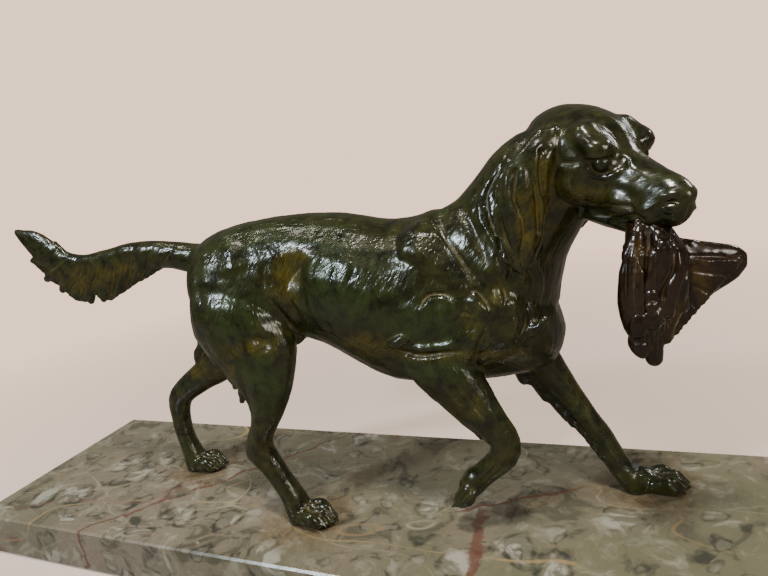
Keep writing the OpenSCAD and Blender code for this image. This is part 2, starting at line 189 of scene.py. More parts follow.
# ---- sculpting tools; sideways paths are (x, z) on the near (-1) or far (+1) side of the dog ----
def smoothLine(points, gap=0.8):
    points = np.asarray(points, dtype=float)
    if len(points) < 2:
        return points
    padded = np.vstack([2 * points[0] - points[1], points, 2 * points[-1] - points[-2]])
    line = []
    for a, b, c, d in zip(padded, padded[1:], padded[2:], padded[3:]):
        count = max(int(np.linalg.norm(c - b) / gap), 1)
        for t in np.arange(count) / count:
            line.append(0.5 * (2 * b + (c - a) * t + (2 * a - 5 * b + 4 * c - d) * t ** 2
                               + (3 * b - a - 3 * c + d) * t ** 3))
    return np.vstack([line, points[-1:]])


def onSide(clay, side, path):  # drops a side view path onto the skin
    tree = surfaceTree(clay)
    found = []
    for x, z in smoothLine(path):
        hit = tree.ray_cast(Vector((x, side * 200, z)), Vector((0, -side, 0)))[0]
        if hit is not None:
            found.append(hit[:])
    return np.array(found)


def onSkin(clay, path, matrix=None):  # pulls a path in space onto the skin
    line = smoothLine(path)
    if matrix is not None:
        line = moved(line, matrix)
    tree = surfaceTree(clay)
    return np.array([tree.find_nearest(Vector(point))[0][:] for point in line])


def nearLine(clay, line, reach):  # vertices close to a line, distance, share along it
    points = clay["p"]
    inside = np.all((points > line.min(0) - reach) & (points < line.max(0) + reach), axis=1)
    chosen = np.nonzero(inside)[0]
    best = np.full(len(chosen), 1e9)
    along = np.zeros(len(chosen))
    if len(line) == 1:
        offset = points[chosen] - line[0]
        return chosen, np.linalg.norm(offset, axis=1), along + 0.5
    for k in range(len(line) - 1):
        start, step = line[k], line[k + 1] - line[k]
        offset = points[chosen] - start
        t = np.clip(offset @ step / max(step @ step, 1e-9), 0, 1)
        gap = offset - t[:, None] * step
        distance = np.linalg.norm(gap, axis=1)
        closer = distance < best
        best[closer] = distance[closer]
        along[closer] = (k + t[closer]) / (len(line) - 1)
    return chosen, best, along


def ridge(clay, line, width, height, taper=0.6):  # a raised or sunk line with a soft section
    if len(line) == 0:
        return
    chosen, distance, along = nearLine(clay, line, width * 2.6)
    fade = np.clip(np.sin(np.pi * np.clip(along, 0.02, 0.98)), 0, 1) ** taper if len(line) > 1 else 1.0
    lift = height * np.exp(-(distance / width) ** 2) * fade
    clay["p"][chosen] += clay["n"][chosen] * lift[:, None]


def swell(clay, centre, reach, height, sideways=0.0):  # a broad rounded muscle or hollow
    offset = (clay["p"] - np.array(centre)) / np.array(reach)
    fall = np.clip(1 - np.sum(offset ** 2, axis=1), 0, 1) ** 2
    if sideways:
        fall = fall * ramp(clay["n"][:, 1] * sideways, -0.2, 0.4)
    clay["p"] += clay["n"] * (height * fall)[:, None]


def ballChain(shape, points, radii, matrix=None):  # clay pellets in a row, merged by the recast
    line = smoothLine(points, 1.6)
    if matrix is not None:
        line = moved(line, matrix)
    beads = bmesh.new()
    for k, point in enumerate(line):
        t = k / max(len(line) - 1, 1)
        radius = np.interp(t, np.linspace(0, 1, len(radii)), radii)
        place = toDog @ Matrix.Translation(point)
        bmesh.ops.create_icosphere(beads, subdivisions=2 if radius > 3 else 1, radius=radius, matrix=place)
    pour(beads, shape)


# ---- camera, light and floor ----
camera = {"at": (0.1656, -0.3039, 0.2436), "yaw": -26.11, "pitch": -13.34, "roll": -9.52, "lens": 29.06}
lamps = {  # place, size, watts, colour
    "window": ((-0.75, -1.05, 0.95), 0.17, 17, (0.78, 0.89, 1.0)),
    "ceiling": ((0.16, -0.42, 1.45), 0.17, 17, (1.0, 0.95, 0.88)),
    "lantern": ((-0.55, -0.15, 1.30), 0.13, 2, (1.0, 0.93, 0.84)),
    "fill": ((1.25, -0.85, 0.65), 0.5, 11, (1.0, 0.92, 0.84)),
    "rim": ((0.95, 0.75, 0.95), 0.35, 7, (1.0, 0.96, 0.92))}
studio = {"wall": (1.0, 0.70, 0.52, 1), "wallStrength": 1.75, "near": 0.25, "far": 0.85,
          "ambient": (0.62, 0.57, 0.50, 1), "ambientStrength": 0.30,
          # shade: painted shade, the darker floor colour that only reflected and bounced rays see
          "paper": (0.78, 0.62, 0.52, 1), "shade": (0.20, 0.17, 0.14, 1)}


def makeCamera():
    yaw, pitch, roll = (math.radians(camera[k]) for k in ("yaw", "pitch", "roll"))
    ahead = Vector((math.sin(yaw) * math.cos(pitch), math.cos(yaw) * math.cos(pitch), math.sin(pitch)))
    right = Vector((math.cos(yaw), -math.sin(yaw), 0))
    up = right.cross(ahead)
    right, up = right * math.cos(roll) + up * math.sin(roll), up * math.cos(roll) - right * math.sin(roll)
    data = bpy.data.cameras.new("camera")
    data.lens = camera["lens"]
    data.sensor_width = 36
    data.clip_start = 0.01
    holder = bpy.data.objects.new("camera", data)
    holder.matrix_world = Matrix.Translation(camera["at"]) @ Matrix((right, up, -ahead)).transposed().to_4x4()
    scene.collection.objects.link(holder)
    scene.camera = holder


def makeLamps():
    for name, (place, size, power, colour) in lamps.items():
        data = bpy.data.lights.new(name, "AREA")
        data.shape = "DISK"
        data.size = size
        data.energy = power
        data.color = colour
        holder = bpy.data.objects.new(name, data)
        aim = Vector((0, 0, 0.12)) - Vector(place)
        holder.matrix_world = Matrix.Translation(place) @ aim.to_track_quat("-Z", "Y").to_matrix().to_4x4()
        scene.collection.objects.link(holder)
    world = bpy.data.worlds.new("studio")
    world.use_nodes = True
    tree = world.node_tree
    seen, lit = (addNode(tree, "Background", {"Color": studio[name],
                                                        "Strength": studio[name + "Strength"]})
                 for name in ("wall", "ambient"))
    path = addNode(tree, "LightPath")
    both = addNode(tree, "MixShader", {0: path.outputs["Is Camera Ray"], 1: lit.outputs[0],
                                                 2: seen.outputs[0]})
    tree.links.new(both.outputs[0], tree.nodes["World Output"].inputs["Surface"])
    scene.world = world


def makeFloor():  # melts into the wall tone, so no horizon shows: painted light, as the floor glows with the wall tone further out, and painted shade, as rays other than the camera's see a darker copy of the floor
    floor = bmesh.new()
    bmesh.ops.create_circle(floor, cap_ends=True, segments=64, radius=12)
    mesh = bpy.data.meshes.new("floor")
    floor.to_mesh(mesh)
    floor.free()
    holder = bpy.data.objects.new("floor", mesh)
    scene.collection.objects.link(holder)
    material, shader = newMaterial("floor_paper")
    shader.inputs["Roughness"].default_value = 0.8
    tree = material.node_tree
    where = objectPlace(tree)
    reach = addNode(tree, "VectorMath", {0: where}, operation="LENGTH").outputs["Value"]
    away = remap(tree, reach, studio["near"], studio["far"])
    path = addNode(tree, "LightPath")
    share = times(tree, away, path.outputs["Is Camera Ray"])
    # painted shade: the camera sees the floor as paper, other rays see it in the darker shade colour
    sheet = mixColour(tree, path.outputs["Is Camera Ray"], studio["shade"], studio["paper"])
    feed(tree, shader, Base_Color=sheet)
    # painted light: the floor glows with the wall tone, fading in from near the dog to far out, though it is
    # no lamp
    paintedGlow = addNode(tree, "Emission", {"Color": studio["wall"], "Strength": studio["wallStrength"]})
    both = addNode(tree, "MixShader", {0: share, 1: shader.outputs[0], 2: paintedGlow.outputs[0]})
    tree.links.new(both.outputs[0], tree.nodes["Material Output"].inputs["Surface"])
    mesh.materials.append(material)


# ---- node helpers ----
def newMaterial(name):
    material = bpy.data.materials.new(name)
    material.use_nodes = True
    return material, material.node_tree.nodes["Principled BSDF"]


def addNode(tree, kind, inputs=None, **settings):
    node = tree.nodes.new("ShaderNode" + kind)
    for key, value in settings.items():
        setattr(node, key, value)
    for key, value in (inputs or {}).items():
        if isinstance(value, bpy.types.NodeSocket):
            tree.links.new(value, node.inputs[key])
        else:
            node.inputs[key].default_value = value
    return node


def maths(tree, operation, a, b=0.0, clamp=False):
    return addNode(tree, "Math", {0: a, 1: b}, operation=operation, use_clamp=clamp).outputs[0]


def times(tree, a, b, clamp=False):
    return maths(tree, "MULTIPLY", a, b, clamp)


def plus(tree, a, b, clamp=False):
    return maths(tree, "ADD", a, b, clamp)


def minus(tree, a, b, clamp=False):
    return maths(tree, "SUBTRACT", a, b, clamp)


def objectPlace(tree):
    return addNode(tree, "TexCoord").outputs["Object"]


def mask(tree, name, socket="Fac"):
    return addNode(tree, "Attribute", attribute_name=name).outputs[socket]


def feed(tree, node, **feeds):  # Base_Color stands for the socket Base Color
    for key, value in feeds.items():
        tree.links.new(value, node.inputs[key.replace("_", " ")])


def remap(tree, value, low, high, toLow=0.0, toHigh=1.0):
    return addNode(tree, "MapRange", {"Value": value, "From Min": low, "From Max": high,
                                                "To Min": toLow, "To Max": toHigh}).outputs["Result"]


def mixColour(tree, factor, a, b):
    node = addNode(tree, "Mix", data_type="RGBA")
    for socket, value in ((node.inputs["Factor"], factor), (node.inputs[6], a), (node.inputs[7], b)):
        if isinstance(value, bpy.types.NodeSocket):
            tree.links.new(value, socket)
        else:
            socket.default_value = value
    return node.outputs[2]


def noise(tree, vector, scale, detail=3.0, roughness=0.55, distortion=0.0, socket="Fac"):
    node = addNode(tree, "TexNoise", {"Vector": vector, "Scale": scale, "Detail": detail,
                                                "Roughness": roughness, "Distortion": distortion})
    return node.outputs[socket]


def newGroup(name, inputs, outputs):
    group = bpy.data.node_groups.new(name, "ShaderNodeTree")
    for label, kind, value in inputs:
        socket = group.interface.new_socket(label, in_out="INPUT", socket_type="NodeSocket" + kind)
        if value is not None:
            socket.default_value = value
    for label, kind in outputs:
        group.interface.new_socket(label, in_out="OUTPUT", socket_type="NodeSocket" + kind)
    return group, group.nodes.new("NodeGroupInput"), group.nodes.new("NodeGroupOutput")


# ---- finishes ----
strokeAngles = (0, 30, 60, 90, 120, 150)  # ways that chased hair can lie, in side view
hairStroke = {"pitch": 0.0015, "length": 0.010}


def makeHairGroup():  # height of fine chased hair that follows the flow
    group, given, out = newGroup("chased_hair", [("Flow", "Vector", None)],
                                 [("Height", "Float")])
    where = objectPlace(group)
    total, weights = None, None
    for angle in strokeAngles:
        way = (math.cos(math.radians(angle)), 0, math.sin(math.radians(angle)))
        lined = addNode(group, "VectorMath", {0: given.outputs["Flow"], 1: way},
                        operation="DOT_PRODUCT")
        weight = maths(group, "POWER", maths(group, "ABSOLUTE", lined.outputs["Value"]), 9.0)
        squeezed = addNode(group, "Mapping", {
            "Vector": where, "Rotation": (0, -math.radians(angle), 0),
            "Scale": (hairStroke["length"], hairStroke["pitch"], hairStroke["pitch"])}, vector_type="TEXTURE")
        grain = noise(group, squeezed.outputs["Vector"], 1.0, 1.5, 0.55, 0.3)
        part = times(group, grain, weight)
        total = part if total is None else plus(group, total, part)
        weights = weight if weights is None else plus(group, weights, weight)
    height = maths(group, "DIVIDE", total, maths(group, "MAXIMUM", weights, 0.001))
    group.links.new(height, out.inputs["Height"])
    return group


def makePatinaGroup():
    colours = [("Deep", "Color", (0.006, 0.007, 0.002, 1)), ("Body", "Color", (0.031, 0.031, 0.005, 1)),
               ("Bloom", "Color", (0.018, 0.038, 0.007, 1)), ("Hollow", "Color", (0.092, 0.064, 0.003, 1)),
               ("Rust", "Color", (0.080, 0.026, 0.004, 1)), ("Worn", "Color", (0.036, 0.036, 0.024, 1)),
               ("Age", "Float", 0.5), ("Stroke", "Float", 0.5)]
    results = [("Color", "Color")] + [(label, "Float") for label in ("Roughness", "Metallic", "Pits", "Wax")]
    group, given, out = newGroup("patina", colours, results)
    where = objectPlace(group)
    recess, crest, warm, green = (mask(group, name) for name in ("recess", "crest", "warm", "green"))
    broad = noise(group, where, 34, 4, 0.6, 0.3)
    blotch = noise(group, where, 120, 5, 0.65, 0.4)
    speck = noise(group, where, 620, 3, 0.6)
    colour = mixColour(group, remap(group, blotch, 0.35, 0.68), given.outputs["Deep"], given.outputs["Body"])
    bloom = times(group, remap(group, broad, 0.45, 0.7), remap(group, blotch, 0.4, 0.65))
    bloom = plus(group, times(group, bloom, 0.45),
                 times(group, green, remap(group, blotch, 0.3, 0.62)), True)
    colour = mixColour(group, bloom, colour, given.outputs["Bloom"])
    ragged = plus(group, warm, times(group, minus(group, blotch, 0.5), 1.3))
    brown = times(group, remap(group, ragged, 0.25, 0.8),
                  remap(group, given.outputs["Stroke"], 0.62, 0.38, 0.08, 0.75))
    colour = mixColour(group, brown, colour, given.outputs["Hollow"])
    hollow = times(group, recess, remap(group, speck, 0.3, 0.6, 0.5, 1.0))
    colour = mixColour(group, times(group, hollow, given.outputs["Age"], True), colour,
                       given.outputs["Hollow"])
    rust = times(group, remap(group, recess, 0.55, 1.0), remap(group, blotch, 0.5, 0.62))
    colour = mixColour(group, times(group, rust, 0.6), colour, given.outputs["Rust"])
    worn = times(group, crest, remap(group, blotch, 0.3, 0.7, 0.25, 0.8))
    colour = mixColour(group, worn, colour, given.outputs["Worn"])
    rough = remap(group, blotch, 0.3, 0.7, 0.17, 0.31)
    rough = plus(group, rough, times(group, recess, 0.28))
    rough = minus(group, rough, times(group, crest, 0.08), True)
    metal = remap(group, recess, 0.1, 0.9, 0.16, 0.02)
    wax = remap(group, recess, 0.1, 0.8, 0.14, 0.0)
    pits = plus(group, times(group, speck, 0.5), blotch)
    feed(group, out, Color=colour, Roughness=rough, Metallic=metal, Pits=pits, Wax=wax)
    return group


def bronzeMaterial(name, hairDepth, **tints):
    material, shader = newMaterial(name)
    tree = material.node_tree
    patina = addNode(tree, "Group", node_tree=patinaGroup)
    for key, value in tints.items():
        patina.inputs[key].default_value = value
    flow = mask(tree, "flow", "Vector")
    hairy = mask(tree, "hairy")
    strokes = addNode(tree, "Group", node_tree=hairGroup)
    feed(tree, strokes, Flow=flow)
    feed(tree, patina, Stroke=strokes.outputs["Height"])
    lift = times(tree, strokes.outputs["Height"], times(tree, hairy, hairDepth))
    lift = plus(tree, lift, times(tree, patina.outputs["Pits"], 0.12))
    bump = addNode(tree, "Bump", {"Height": lift, "Strength": 0.9, "Distance": 0.0006})
    coats = patina.outputs
    feed(tree, shader, Base_Color=coats["Color"], Roughness=coats["Roughness"], Metallic=coats["Metallic"],
         Coat_Weight=coats["Wax"], Normal=bump.outputs["Normal"])
    shader.inputs["Coat Roughness"].default_value = 0.12
    shader.inputs["Coat IOR"].default_value = 1.5
    return material


patinaGroup = makePatinaGroup()
hairGroup = makeHairGroup()
print("finishes: groups ready")

makeCamera()
makeLamps()
makeFloor()

# ---- the dog ----
dogCast = {
    "nodes": ["body_casting", "head_casting", "tail_casting", "foreleg_near", "foreleg_far", "hindleg_near",
              "hindleg_far", "core_plugs", "neck_sleeve", "neck_pins", "tail_dowel", "leg_dowels"],
    "rough": 1.4, "fine": 0.84,  # voxels of the first and the second cast
    "settle": 26, "tailSettle": 7, "breechesSettle": 12,  # smoothing passes
    "ripple": ((0.20, 11, 3), (0.05, 4, 4)),  # height, size and seed of the uneven skin
    "strokes": ((4.0, 17, 0.15, 11), (2.0, 9, 0.13, 31)),  # pitch, length, depth and seed of the chasing
    "hollowSteps": (3, 1, 26), "hollow": (0.22, 0.25, 1.5), "crest": (0.8, 2.6, 0.5)}
muscles = [  # centre, reach, height, side faced (0 all round)
    ((56, -32, 124), (27, 30, 17), 2.6, -1),  # upper arm
    ((60, 31, 118), (26, 30, 18), 2.2, 1),
    ((45, -26, 152), (13, 30, 20), 1.0, -1),  # shoulder blade, behind and before its ridge
    ((84, -27, 147), (10, 24, 16), 2.4, -1),
    ((84, 27, 147), (10, 24, 16), 2.2, 1),
    ((4, -30, 140), (26, 30, 30), 1.4, -1),  # ribs
    ((4, 30, 140), (26, 30, 30), 1.4, 1),
    ((-24, -26, 152), (15, 26, 17), -3.4, -1),  # flank hollows
    ((-24, 26, 152), (15, 26, 17), -3.2, 1),
    ((-30, -22, 128), (9, 26, 16), -2.0, -1),
    ((-62, -28, 136), (27, 30, 24), 2.2, -1),  # thighs
    ((-64, 28, 136), (27, 30, 24), 2.2, 1),
    ((-86, -24, 140), (13, 26, 22), 1.2, -1),
    ((-68, -22, 172), (16, 20, 10), 0.8, -1),  # hip bones
    ((-68, 22, 172), (16, 20, 10), 0.8, 1),
    ((-48, -34, 116), (11, 26, 8), -2.2, -1),  # under the knee
    ((-70, -36, 106), (8, 26, 16), -1.2, -1),
    ((28, -14, 172), (14, 20, 12), -1.0, 0),  # behind the withers
    ((54, -8, 174), (14, 16, 9), 1.4, 0),  # withers
    ((100, 0, 136), (12, 7, 26), -1.4, 0),  # windpipe hollow
    ((90, -18, 128), (10, 12, 18), 1.4, -1),
    ((30, -20, 100), (30, 20, 10), 0.8, 0)]
headMuscles = [  # x, z, each y, reach, height in head measure
    (15, 3, (-13.5, 11.5), (6.5, 6, 5.4), -2.1),  # eye sockets
    (14.2, -5, (-14, 12), (7, 6, 5), -1.3),  # under the eyes
    (20, 3.5, (-8, 6), (4, 4, 4.5), -1.6),  # inner corners
    (-3, 10, (-15, 13), (9, 7, 8), 1.2),  # temples
    (10, 14, (-12, 10), (9, 7, 6.5), -1.5),  # above the brows
    (14, 11, (-14, 12), (6, 5, 4.5), -0.8),
    (12, 14, (-3.5,), (12, 4.4, 9), -0.9),  # furrow up the forehead
    (23, -1, (-6,), (8, 5, 4), -0.9),
    (36, -10.5, (-10, 9), (7, 5, 5), 1.4),  # flews
    (22.5, -9.5, (-11, 10), (7, 5, 4.4), 1.6),
    (45, -5, (-1,), (5, 7, 5), 0.8),  # nose leather
    (2, -7, (-18,), (9, 6, 8), 0.9)]  # cheek
sideLines = {  # paths, width, height (below 0 a groove)
    -1: [
        ([(56, 166), (64, 156), (73, 141)], 1.1, 1.3),  # ridge of the shoulder blade
        ([(59, 163), (67, 154), (76, 141)], 2.2, -0.9),
        ([(70, 177), (74, 170), (78, 161), (81, 152), (82, 144)], 2.6, -1.5),
        ([(47, 131), (51, 136), (56, 137), (61, 136), (66, 133)], 1.2, -1.6),
        ([(47, 128), (52, 133), (57, 134), (62, 133)], 1.6, 0.9),
        ([(70, 134), (75, 137), (79, 133), (82, 127), (82, 119)], 1.3, -1.5),
        ([(71, 129), (74, 132), (77, 129), (79, 124)], 1.8, 0.8),
        ([(82, 118), (77, 115), (72, 104), (69, 94)], 1.6, -1.5),
        ([(78, 120), (73, 114), (67, 103), (64, 96)], 2.2, 0.9),
        ([(66, 128), (69, 126), (74, 125)], 0.9, -1.0),  # star of folds before the arm
        ([(67, 124), (69, 126), (71, 131)], 0.8, -0.8),
        ([(64, 122), (69, 126), (73, 121)], 0.8, -0.8),
        ([(26, 111), (33, 106.5), (43, 105), (56, 106), (68, 106)], 1.4, -2.0),
        ([(27, 114), (34, 110), (44, 109), (57, 110), (67, 111)], 1.8, 1.0),
        ([(-57, 140), (-48, 133), (-39, 127)], 3.0, 1.1),  # knee
        ([(-37, 145), (-33, 134), (-29, 121)], 1.2, 1.4),  # skin fold of the flank
        ([(-41, 141), (-37, 132), (-33, 119)], 1.4, -1.2),
        ([(-30, 143), (-27, 133), (-25, 123)], 1.6, -1.0),
        ([(-40, 160), (-41, 152), (-42, 144)], 2.2, -1.1),
        ([(-8, 160), (-25, 150), (-29, 141)], 1.8, -0.9),
        ([(-74, 124), (-66, 115), (-59, 107)], 2.4, -1.3),
        ([(-80, 118), (-72, 108), (-66, 98)], 2.4, 0.8),
        ([(-59, 122), (-50, 118), (-42, 113)], 2.6, -1.2),
        ([(-4, 164), (-11, 155), (-13, 147), (-13, 135), (-14, 122)], 3.4, 1.3),
        ([(6, 160), (2, 148), (1, 134), (1, 122)], 2.6, -0.45),
        ([(16, 158), (12, 146), (11, 132), (12, 120)], 2.6, -0.4),
        ([(-85, 165), (-84, 150), (-80, 136)], 3.0, -0.9),
        ([(-63, 100), (-63, 86), (-66, 70), (-70, 58)], 1.9, -1.3),  # behind the shin
        ([(-57, 96), (-57, 82), (-62, 66)], 1.6, 0.6),
        ([(-70, 46), (-64, 36), (-58, 25)], 1.2, -0.8),
        ([(56, 96), (64, 84), (71, 72), (77, 62)], 1.6, -0.9),
        ([(49, 94), (58, 82), (66, 71)], 1.8, 0.7),
        ([(78, 50), (72, 40), (64, 32)], 1.2, -0.8),
        ([(126, 33), (131, 22), (135, 14)], 1.1, 0.6),
        ([(96, 90), (104, 74), (112, 60)], 1.8, -0.8),
        ([(62, 31), (57, 26), (52, 20), (48.5, 15.5)], 1.1, -1.4),  # raised paw
        ([(57, 33), (52, 28), (48.5, 23), (46.5, 18.5)], 1.0, -1.2),
        ([(60, 28.5), (55, 23), (51, 18)], 1.3, 0.8)],
    1: [
        ([(56, 166), (64, 156), (73, 141)], 1.1, 1.2),
        ([(47, 131), (52, 136), (60, 136), (66, 133)], 1.2, -1.5),
        ([(80, 130), (79, 118), (74, 106), (70, 96)], 1.6, -1.4),
        ([(26, 111), (43, 105), (68, 104)], 1.4, -1.5),
        ([(-42, 146), (-40, 134), (-44, 120)], 1.4, 1.2),
        ([(-74, 126), (-84, 112), (-92, 100)], 2.4, -1.3),
        ([(-4, 164), (-12, 152), (-13, 137), (-14, 122)], 3.4, 1.3),
        ([(6, 160), (2, 148), (1, 134), (1, 122)], 2.6, -0.45),
        ([(-98, 100), (-118, 84), (-140, 71)], 1.6, -1.1),
        ([(-166, 50), (-168, 36), (-166, 20)], 1.2, -0.8),
        ([(92, 90), (104, 70), (118, 46)], 1.6, -0.9),
        ([(56, 96), (66, 82), (74, 66)], 1.6, -0.9)]}
headLines = [  # path in head measure, width, height, mirrored
    ([(9, -17, 3.2), (11, -16.6, 6.2), (14, -15, 7.6), (17, -12.6, 6.8), (19.4, -10, 3.6)], 0.8, 0.8, True),
    ([(9, -16.5, 2), (12, -15, -1.4), (16.4, -12.4, -2.4), (20, -10, -0.4), (21, -8.4, 2)], 0.9, 1.2, True),
    ([(-1, -19.6, 1.6), (3, -18.6, 2), (7.4, -17, 3.2)], 1.1, -1.0, True),
    ([(10.5, -17, 11), (14, -15.6, 12.6), (17, -12, 11.5)], 2.2, 0.3, True),
    ([(21, -6, 8), (24.5, -6.6, 3), (31, -6.6, 0.5)], 1.6, 0.5, True),
    ([(-6, -4.5, 21), (4, -5, 18), (11, -4.5, 14.5), (16, -4, 10), (20, -3, 6.5)], 2.4, -0.3, False),
    ([(42.4, -8, -7.6), (44.3, -6.8, -7.0), (46.2, -5.1, -6.8)], 1.1, -2.4, True),
    ([(42, -8.2, -9.2), (44, -7.4, -10.6), (46.4, -5, -10)], 0.9, 0.8, True),
    ([(40.6, -8.2, -5), (43.6, -7, -4), (46.6, -4.6, -4.6)], 0.9, 0.6, True),
    ([(49, -0.8, -8), (48.6, -0.8, -12), (46, -0.8, -16)], 0.7, -0.8, False),
    ([(13, -10, -15.4), (22, -12, -13), (28.8, -11, -11.6), (31.4, -11, -12.4)], 0.9, -1.6, True),
    ([(10, -8, -20.8), (17.8, -9, -19.4), (25, -10, -17), (31.4, -11, -14.6), (36, -10.6, -15)],
     1.0, -1.9, True),
    ([(10, -8, -23), (18, -8.4, -22), (26, -8.6, -20)], 1.2, 0.8, True),
    ([(-1, -19, -11), (3, -15, -16), (7, -10, -19)], 1.4, 0.7, True),
    ([(-4.4, -26.8, 6.3), (-3, -28, 0.6), (-1, -27.4, -9.5), (-3.4, -22.4, -19.5)], 1.2, -1.7, False),
    ([(-9, -25, 12.4), (-13, -16, 15), (-7, -18, 15.2), (-4.6, -20, 11.8)], 1.3, 1.1, False),
    ([(-4.5, -25.6, 8.1), (-4.2, -26, 6.6)], 1.9, -2.6, False)]
earLocks = [  # wavy locks of the near ear, in head measure
    ([(-29, -36, -8), (-31, -38, -16), (-26, -41, -24), (-18, -41, -32), (-8, -40, -40), (-3, -36, -44)],
     1.6, 1.2),
    ([(-26, -33, -2), (-27, -38, -14), (-21, -41, -23), (-14, -41, -31), (-6, -39, -39)], 1.1, -1.5),
    ([(-23, -32, 1), (-22, -38, -10), (-17, -41.5, -20), (-11, -41.5, -29), (-5, -38.5, -38)], 1.4, 1.0),
    ([(-18, -35, 2), (-17, -39, -8), (-12.5, -42, -18), (-8.6, -41, -29), (-4, -38, -38)], 1.2, -1.6),
    ([(-12, -38, 0), (-10, -40, -9), (-6.5, -40, -20), (-5.6, -39, -30), (-3, -37, -41)], 1.5, 1.2),
    ([(-9, -36, -1), (-7.4, -38, -12), (-2.9, -36.5, -22), (-2.6, -36.4, -33)], 1.1, -1.6),
    ([(-7, -34, 0), (-3.6, -34.6, -12), (-0.6, -33, -23), (-1, -34, -36)], 1.4, 1.1),
    ([(-4, -31, -4), (-0.8, -30.6, -15), (0.4, -31, -26)], 1.0, -1.3)]
farEarLocks = [[(x, y, z), (x - 3, y + 7, z - 14), (x - 9, y + 11, z - 30), (x - 15, y + 9, z - 42)]
               for x, y, z in ((142, 15, 204), (145, 12, 202), (138, 17, 205), (133, 19, 203))]
tailEdge = [  # lower outline of the tail, x and z
    (-240, 178), (-236, 172), (-231, 167), (-223, 160), (-220, 155), (-212, 149), (-205, 141),
    (-200, 140), (-194, 140), (-188, 146), (-183, 140), (-176, 139), (-164, 144), (-151, 149),
    (-142, 152), (-131, 156), (-120, 159), (-108, 157)]
tailBone = [  # upper outline
    (-238, 196), (-218, 190), (-211, 186), (-204, 178), (-197, 172), (-185, 170), (-171, 172),
    (-148, 176), (-132, 176), (-105, 171), (-87, 170)]
tailReach, tailLow = np.array(tailEdge).T
boneReach, boneTop = np.array(tailBone).T
tailStrands = []
for k in range(56):
    x = -234 + 2.0 * k
    low = np.interp(x, tailReach, tailLow) + 2.3 + 0.25 * math.sin(2.3 * k)
    root = x + 15 - 0.085 * (x + 130)
    top = np.interp(root, boneReach, boneTop) - 3.6
    sway = 1.5 * math.sin(0.9 * k) * ramp(-x, 120, 150)
    tailStrands.append([(root, 0, top), (0.45 * x + 0.55 * root, sway, 0.47 * low + 0.53 * top - 1),
                        (0.8 * x + 0.2 * root, sway, 0.78 * low + 0.22 * top - 0.5), (x, 0.4 * sway, low)])
tailLocks = [[(x, z) for x, y, z in path] for path in tailStrands[1::4]]
neckLocks = [  # wavy locks of the neck and chest, side view
    ([(82, 186), (79, 176), (82, 166), (81, 156)], 1.3, -1.1),
    ([(86, 184), (84, 174), (87, 163), (86, 152)], 1.5, 0.8),
    ([(91, 168), (90, 158), (93, 149), (91, 139)], 1.2, -1.1),
    ([(95, 162), (95, 152), (98, 143), (96, 133)], 1.4, 0.9),
    ([(99, 156), (99, 146), (102, 137), (99, 127)], 1.2, -1.1),
    ([(104, 154), (104, 144), (105, 134), (102, 124)], 1.3, 0.8),
    ([(87, 141), (89, 132), (87, 123)], 1.2, -0.9), ([(92, 130), (93, 121), (90, 112)], 1.3, 0.9),
    ([(97, 124), (96, 116), (91, 108)], 1.1, -1.0), ([(83, 112), (78, 106), (72, 103)], 1.2, -1.0),
    ([(89, 110), (84, 104), (78, 101)], 1.2, 0.9)]
flowSpread = 450  # how far each way of the hair spreads, squared
hairWays = [  # side view place, direction of the lie
    ((118, 195), (-0.6, -0.8)), ((90, 182), (-0.5, -0.86)), ((98, 150), (-0.25, -0.97)),
    ((104, 122), (-0.2, -0.98)), ((70, 160), (-0.35, -0.94)), ((50, 150), (-0.3, -0.95)),
    ((56, 124), (-0.75, -0.66)), ((40, 170), (-0.75, -0.66)), ((10, 172), (-0.8, -0.6)),
    ((8, 148), (-0.5, -0.87)), ((8, 118), (-0.7, -0.7)), ((30, 96), (-0.98, -0.2)),
    ((-25, 176), (-0.8, -0.6)), ((-25, 150), (-0.45, -0.9)), ((-60, 174), (-0.7, -0.7)),
    ((-55, 145), (-0.1, -1)), ((-85, 155), (-0.3, -0.95)), ((-70, 120), (-0.2, -0.98)),
    ((-58, 90), (0, -1)), ((-64, 60), (-0.2, -0.98)), ((-62, 36), (0.5, -0.86)),
    ((-50, 10), (0.9, -0.4)), ((-100, 102), (-0.75, -0.66)), ((-135, 78), (-0.85, -0.5)),
    ((-165, 50), (-0.1, -1)), ((-162, 12), (0.7, -0.7)), ((56, 92), (0.6, -0.8)),
    ((74, 64), (0.5, -0.86)), ((68, 38), (-0.65, -0.76)), ((96, 84), (0.5, -0.87)),
    ((118, 44), (0.5, -0.87)), ((140, 12), (0.9, -0.4)), ((-115, 166), (-1, 0)),
    ((-140, 165), (-0.85, -0.5)), ((-170, 162), (-0.75, -0.66)), ((-205, 168), (-0.8, -0.6)),
    ((-232, 186), (-0.85, 0.5))]
elbowTufts = [([(40, -30, 116), (32, -31.5, 113), (24, -31, 110)], 3.4),
              ([(38, 30, 116), (32, 31, 112), (25, 30, 109)], 3.2)]
limbFeathers = [((46, 103), (75, 61), (16, 8.6), -25, 8, 2.3),
                ((88, 94), (130, 22), (12.5, 6), 18.5, 11, 2.1)]
brisketTufts = [(70, 98, 2.8), (77, 99, 2.8), (84, 103, 3.0), (91, 107, 2.8), (98, 110, 2.6)]
breechesTufts = [
    (-74, -23, 97, 3.6), (-69, -24, 89, 3.2), (-84, -20, 107, 3.8), (-69, -24, 84, 4.2), (-73, -22, 92, 4.6),
    (-78, -20, 101, 4.8), (-104, 18, 116, 4.2), (-110, 19, 106, 3.8), (-117, 21, 98, 3.4),
    (-127, 22, 90, 3.0), (-92, 22, 92, 3.0), (-100, 22, 86, 2.6), (-99, 14, 139, 4.6),
    (-103, 16, 131, 5.2), (-108, 18, 123, 5.6), (-114, 20, 115, 5.6), (-120, 21, 106, 5.4),
    (-126, 22, 98, 5.0), (-132, 22, 90, 4.2)]


def pawSeat(at, turn, rise, size):
    return Matrix.Translation(at) @ turnBy(turn, "Z") @ turnBy(rise, "Y") @ Matrix.Scale(size, 4)


